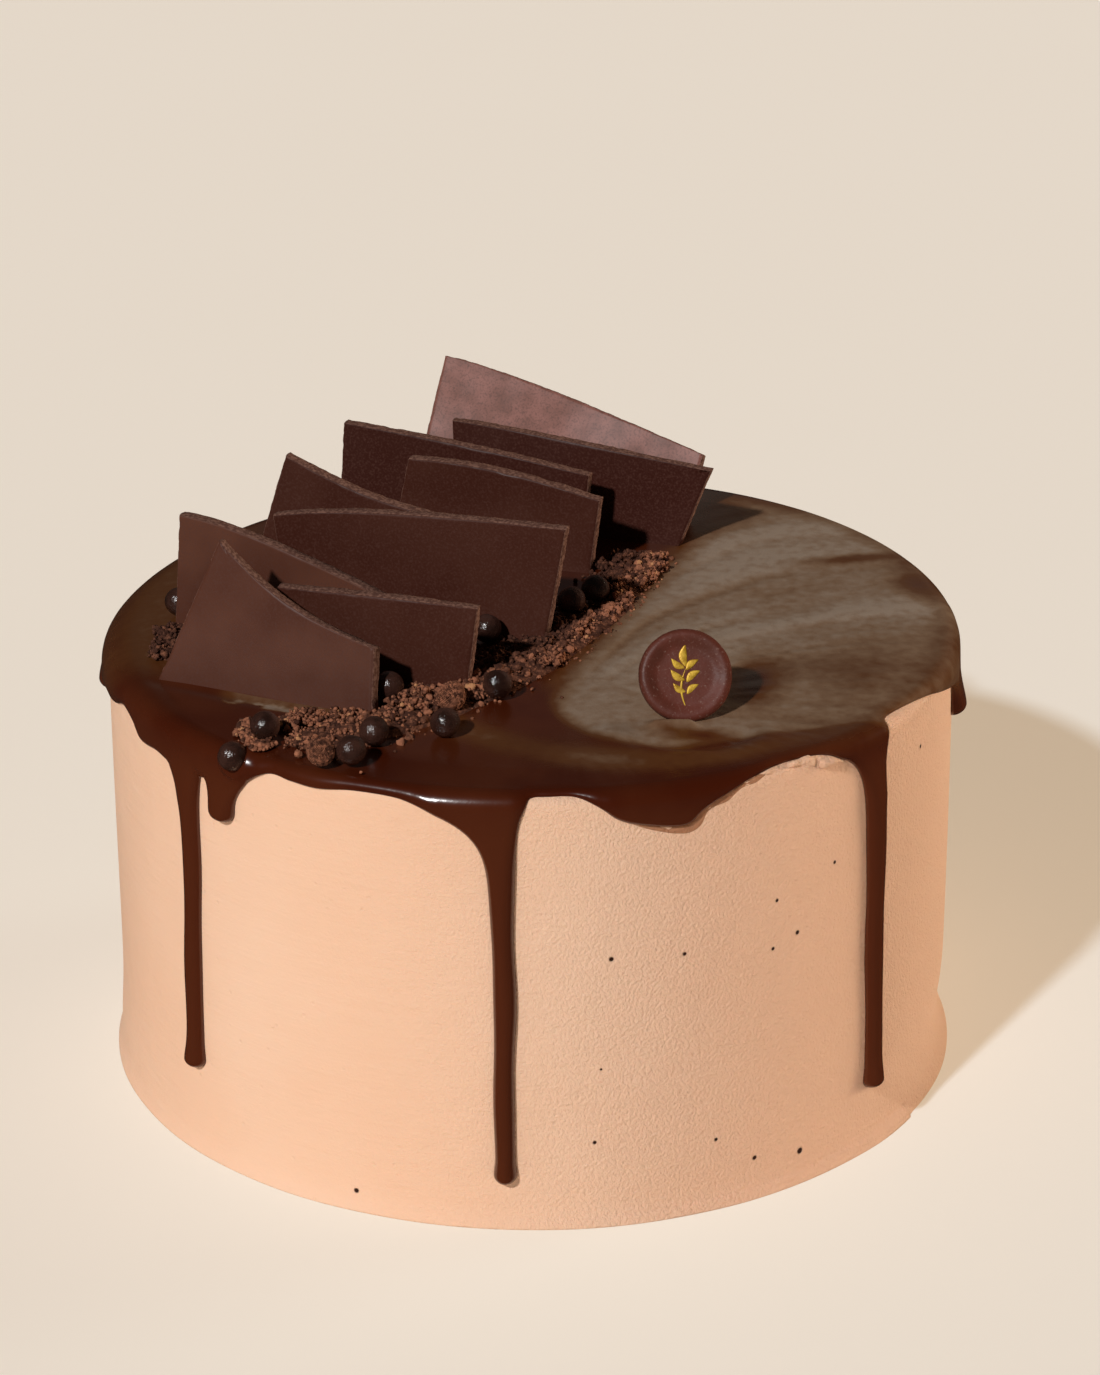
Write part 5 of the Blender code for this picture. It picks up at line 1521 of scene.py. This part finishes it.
GOLD_BRIGHT = (0.74, 0.47, 0.045, 1.0)
GOLD_DEEP = (0.52, 0.29, 0.02, 1.0)


def gold_paint():
    """Edible gold dust in a thin binder: half metallic, mottled and slightly brushed."""
    material, tree, shader, coords = new_finish("gold_paint", Metallic=0.35)
    drift = effect_in(tree, SLOW_DRIFT, vector=coords, scale=700.0, low=0.35, high=0.65)
    tree.links.new(blend_in(tree, drift, GOLD_DEEP, GOLD_BRIGHT), shader.inputs["Base Color"])
    tree.links.new(math_in(tree, "MULTIPLY_ADD", drift, 0.2, 0.38), shader.inputs["Roughness"])
    grain = effect_in(tree, FINE_GRAIN, vector=coords, scale=2400.0, fine_share=0.5)
    raise_surface(tree, shader, grain, 0.04)
    return material


place_piece(mesh_of("gold_sprig", *gold_sprig()), gold_paint(), "gold_paint")


# ---------------------------------------------------------------------------------------
# Table, light and camera
# ---------------------------------------------------------------------------------------
# The cake stands on a plain pale table that glows a little. A small strong lamp from the front
# left throws the crisp shadows, a broad weak one from the right opens up the shaded side, and a
# wide panel low behind the cake shines in the glaze.

TABLE_SIZE = 9000.0
TABLE_COLOUR = (0.48, 0.56, 0.61, 1.0)
TABLE_GLOW = (0.500, 0.370, 0.250, 1.0)
ROOM_LIGHT = (0.110, 0.095, 0.080, 1.0)
ROOM_ABOVE = (0.032, 0.027, 0.022, 1.0)
ROOM_DIM = (0.02, 0.018, 0.016, 1.0)
PANEL_LIGHT = (0.26, 0.21, 0.165, 1.0)
LAMP_ANGLE = -121.0  # the side that the light comes from, and its height above level
LAMP_RISE = 37.0
LAMP_STRENGTH = 2.45
LAMP_SPREAD = 2.6  # degrees across the lamp, which softens its shadows
FILL_ANGLE = 22.0
FILL_RISE = 1.0
FILL_STRENGTH = 4.1
FILL_SPREAD = 26.0
FILL_COLOUR = (1.0, 0.90, 0.74)
LAMP_COLOUR = (1.0, 1.0, 1.0)


def table():
    """A flat square under the cake."""
    side = TABLE_SIZE / 2
    points = [(-side, -side, 0), (side, -side, 0), (side, side, 0), (-side, side, 0)]
    mesh = mesh_of("table", points, [np.array([[0, 1, 2, 3]])])
    material, tree, shader, coords = new_finish(
        "pale_table",
        Roughness=0.85,
        Specular_IOR_Level=0.2,
        Emission_Color=TABLE_GLOW,
        Emission_Strength=1.0,
    )
    drift = effect_in(tree, SLOW_DRIFT, vector=coords, scale=3.0, low=0.2, high=0.8)
    paler = tuple(0.98 * value for value in TABLE_COLOUR[:3]) + (1.0,)
    tree.links.new(blend_in(tree, drift, TABLE_COLOUR, paler), shader.inputs["Base Color"])
    mesh.materials.append(material)
    surface = bpy.data.objects.new("table", mesh)
    surface.visible_glossy = False
    bpy.context.scene.collection.objects.link(surface)


def lamp(name, angle, rise, strength, spread, colour):
    """A lamp as far off as the sun but wider, from an angle round the cake and above level."""
    light = bpy.data.lights.new(name, "SUN")
    light.energy = strength
    light.angle = math.radians(spread)
    light.color = colour
    holder = bpy.data.objects.new(name, light)
    turn = Matrix.Rotation(math.radians(angle + 90.0), 4, "Z")
    holder.matrix_world = turn @ Matrix.Rotation(math.radians(90.0 - rise), 4, "X")
    bpy.context.scene.collection.objects.link(holder)
    return holder


def room():
    """Even light from all round, which glossy surfaces hardly mirror, and the panel behind."""
    world = bpy.data.worlds.new("pale_room")
    world.use_nodes = True
    tree = world.node_tree
    towards = tree.nodes.new("ShaderNodeTexCoord").outputs["Generated"]
    axes = node_in(tree, "SeparateXYZ", {0: towards}).outputs
    panel = span_in(tree, axes[2], 0.42, 0.36, 0.1, 1.0)
    panel = math_in(tree, "MULTIPLY", panel, span_in(tree, axes[2], 0.08, 0.30))
    panel = math_in(tree, "MULTIPLY", panel, span_in(tree, axes[1], -0.2, 0.5))
    panel = math_in(tree, "MULTIPLY", panel, span_in(tree, axes[0], -0.30, 0.15))
    mirrored = tree.nodes.new("ShaderNodeLightPath").outputs["Is Glossy Ray"]
    even = blend_in(tree, span_in(tree, axes[2], 0.15, 0.6), ROOM_LIGHT, ROOM_ABOVE)
    even = blend_in(tree, mirrored, even, ROOM_DIM)
    colour = blend_in(tree, math_in(tree, "MULTIPLY", panel, mirrored), even, PANEL_LIGHT)
    tree.links.new(colour, tree.nodes["Background"].inputs["Color"])
    bpy.context.scene.world = world


CAMERA_PLACE = (3.61, -761.84, 400.70)
CAMERA_DROP = math.radians(23.2604)  # below level
CAMERA_ROLL = math.radians(-0.196)
CAMERA_LENS = 110.84
CAMERA_SENSOR = 36.0


def camera():
    """The picture is taken from a little above the cake, from in front."""
    view = bpy.data.cameras.new("camera")
    view.lens = CAMERA_LENS
    view.sensor_width = CAMERA_SENSOR
    view.sensor_fit = "AUTO"
    view.clip_start = 0.05
    view.clip_end = 50.0
    holder = bpy.data.objects.new("camera", view)
    place = Matrix.Translation(Vector(CAMERA_PLACE) * MM)
    tilt = Matrix.Rotation(math.pi / 2 - CAMERA_DROP, 4, "X")
    holder.matrix_world = place @ tilt @ Matrix.Rotation(CAMERA_ROLL, 4, "Z")
    bpy.context.scene.collection.objects.link(holder)
    bpy.context.scene.camera = holder


table()
lamp("key_lamp", LAMP_ANGLE, LAMP_RISE, LAMP_STRENGTH, LAMP_SPREAD, LAMP_COLOUR)
fill = lamp("fill_lamp", FILL_ANGLE, FILL_RISE, FILL_STRENGTH, FILL_SPREAD, FILL_COLOUR)
fill.visible_glossy = False
room()
camera()
bpy.context.scene.view_settings.view_transform = "Standard"
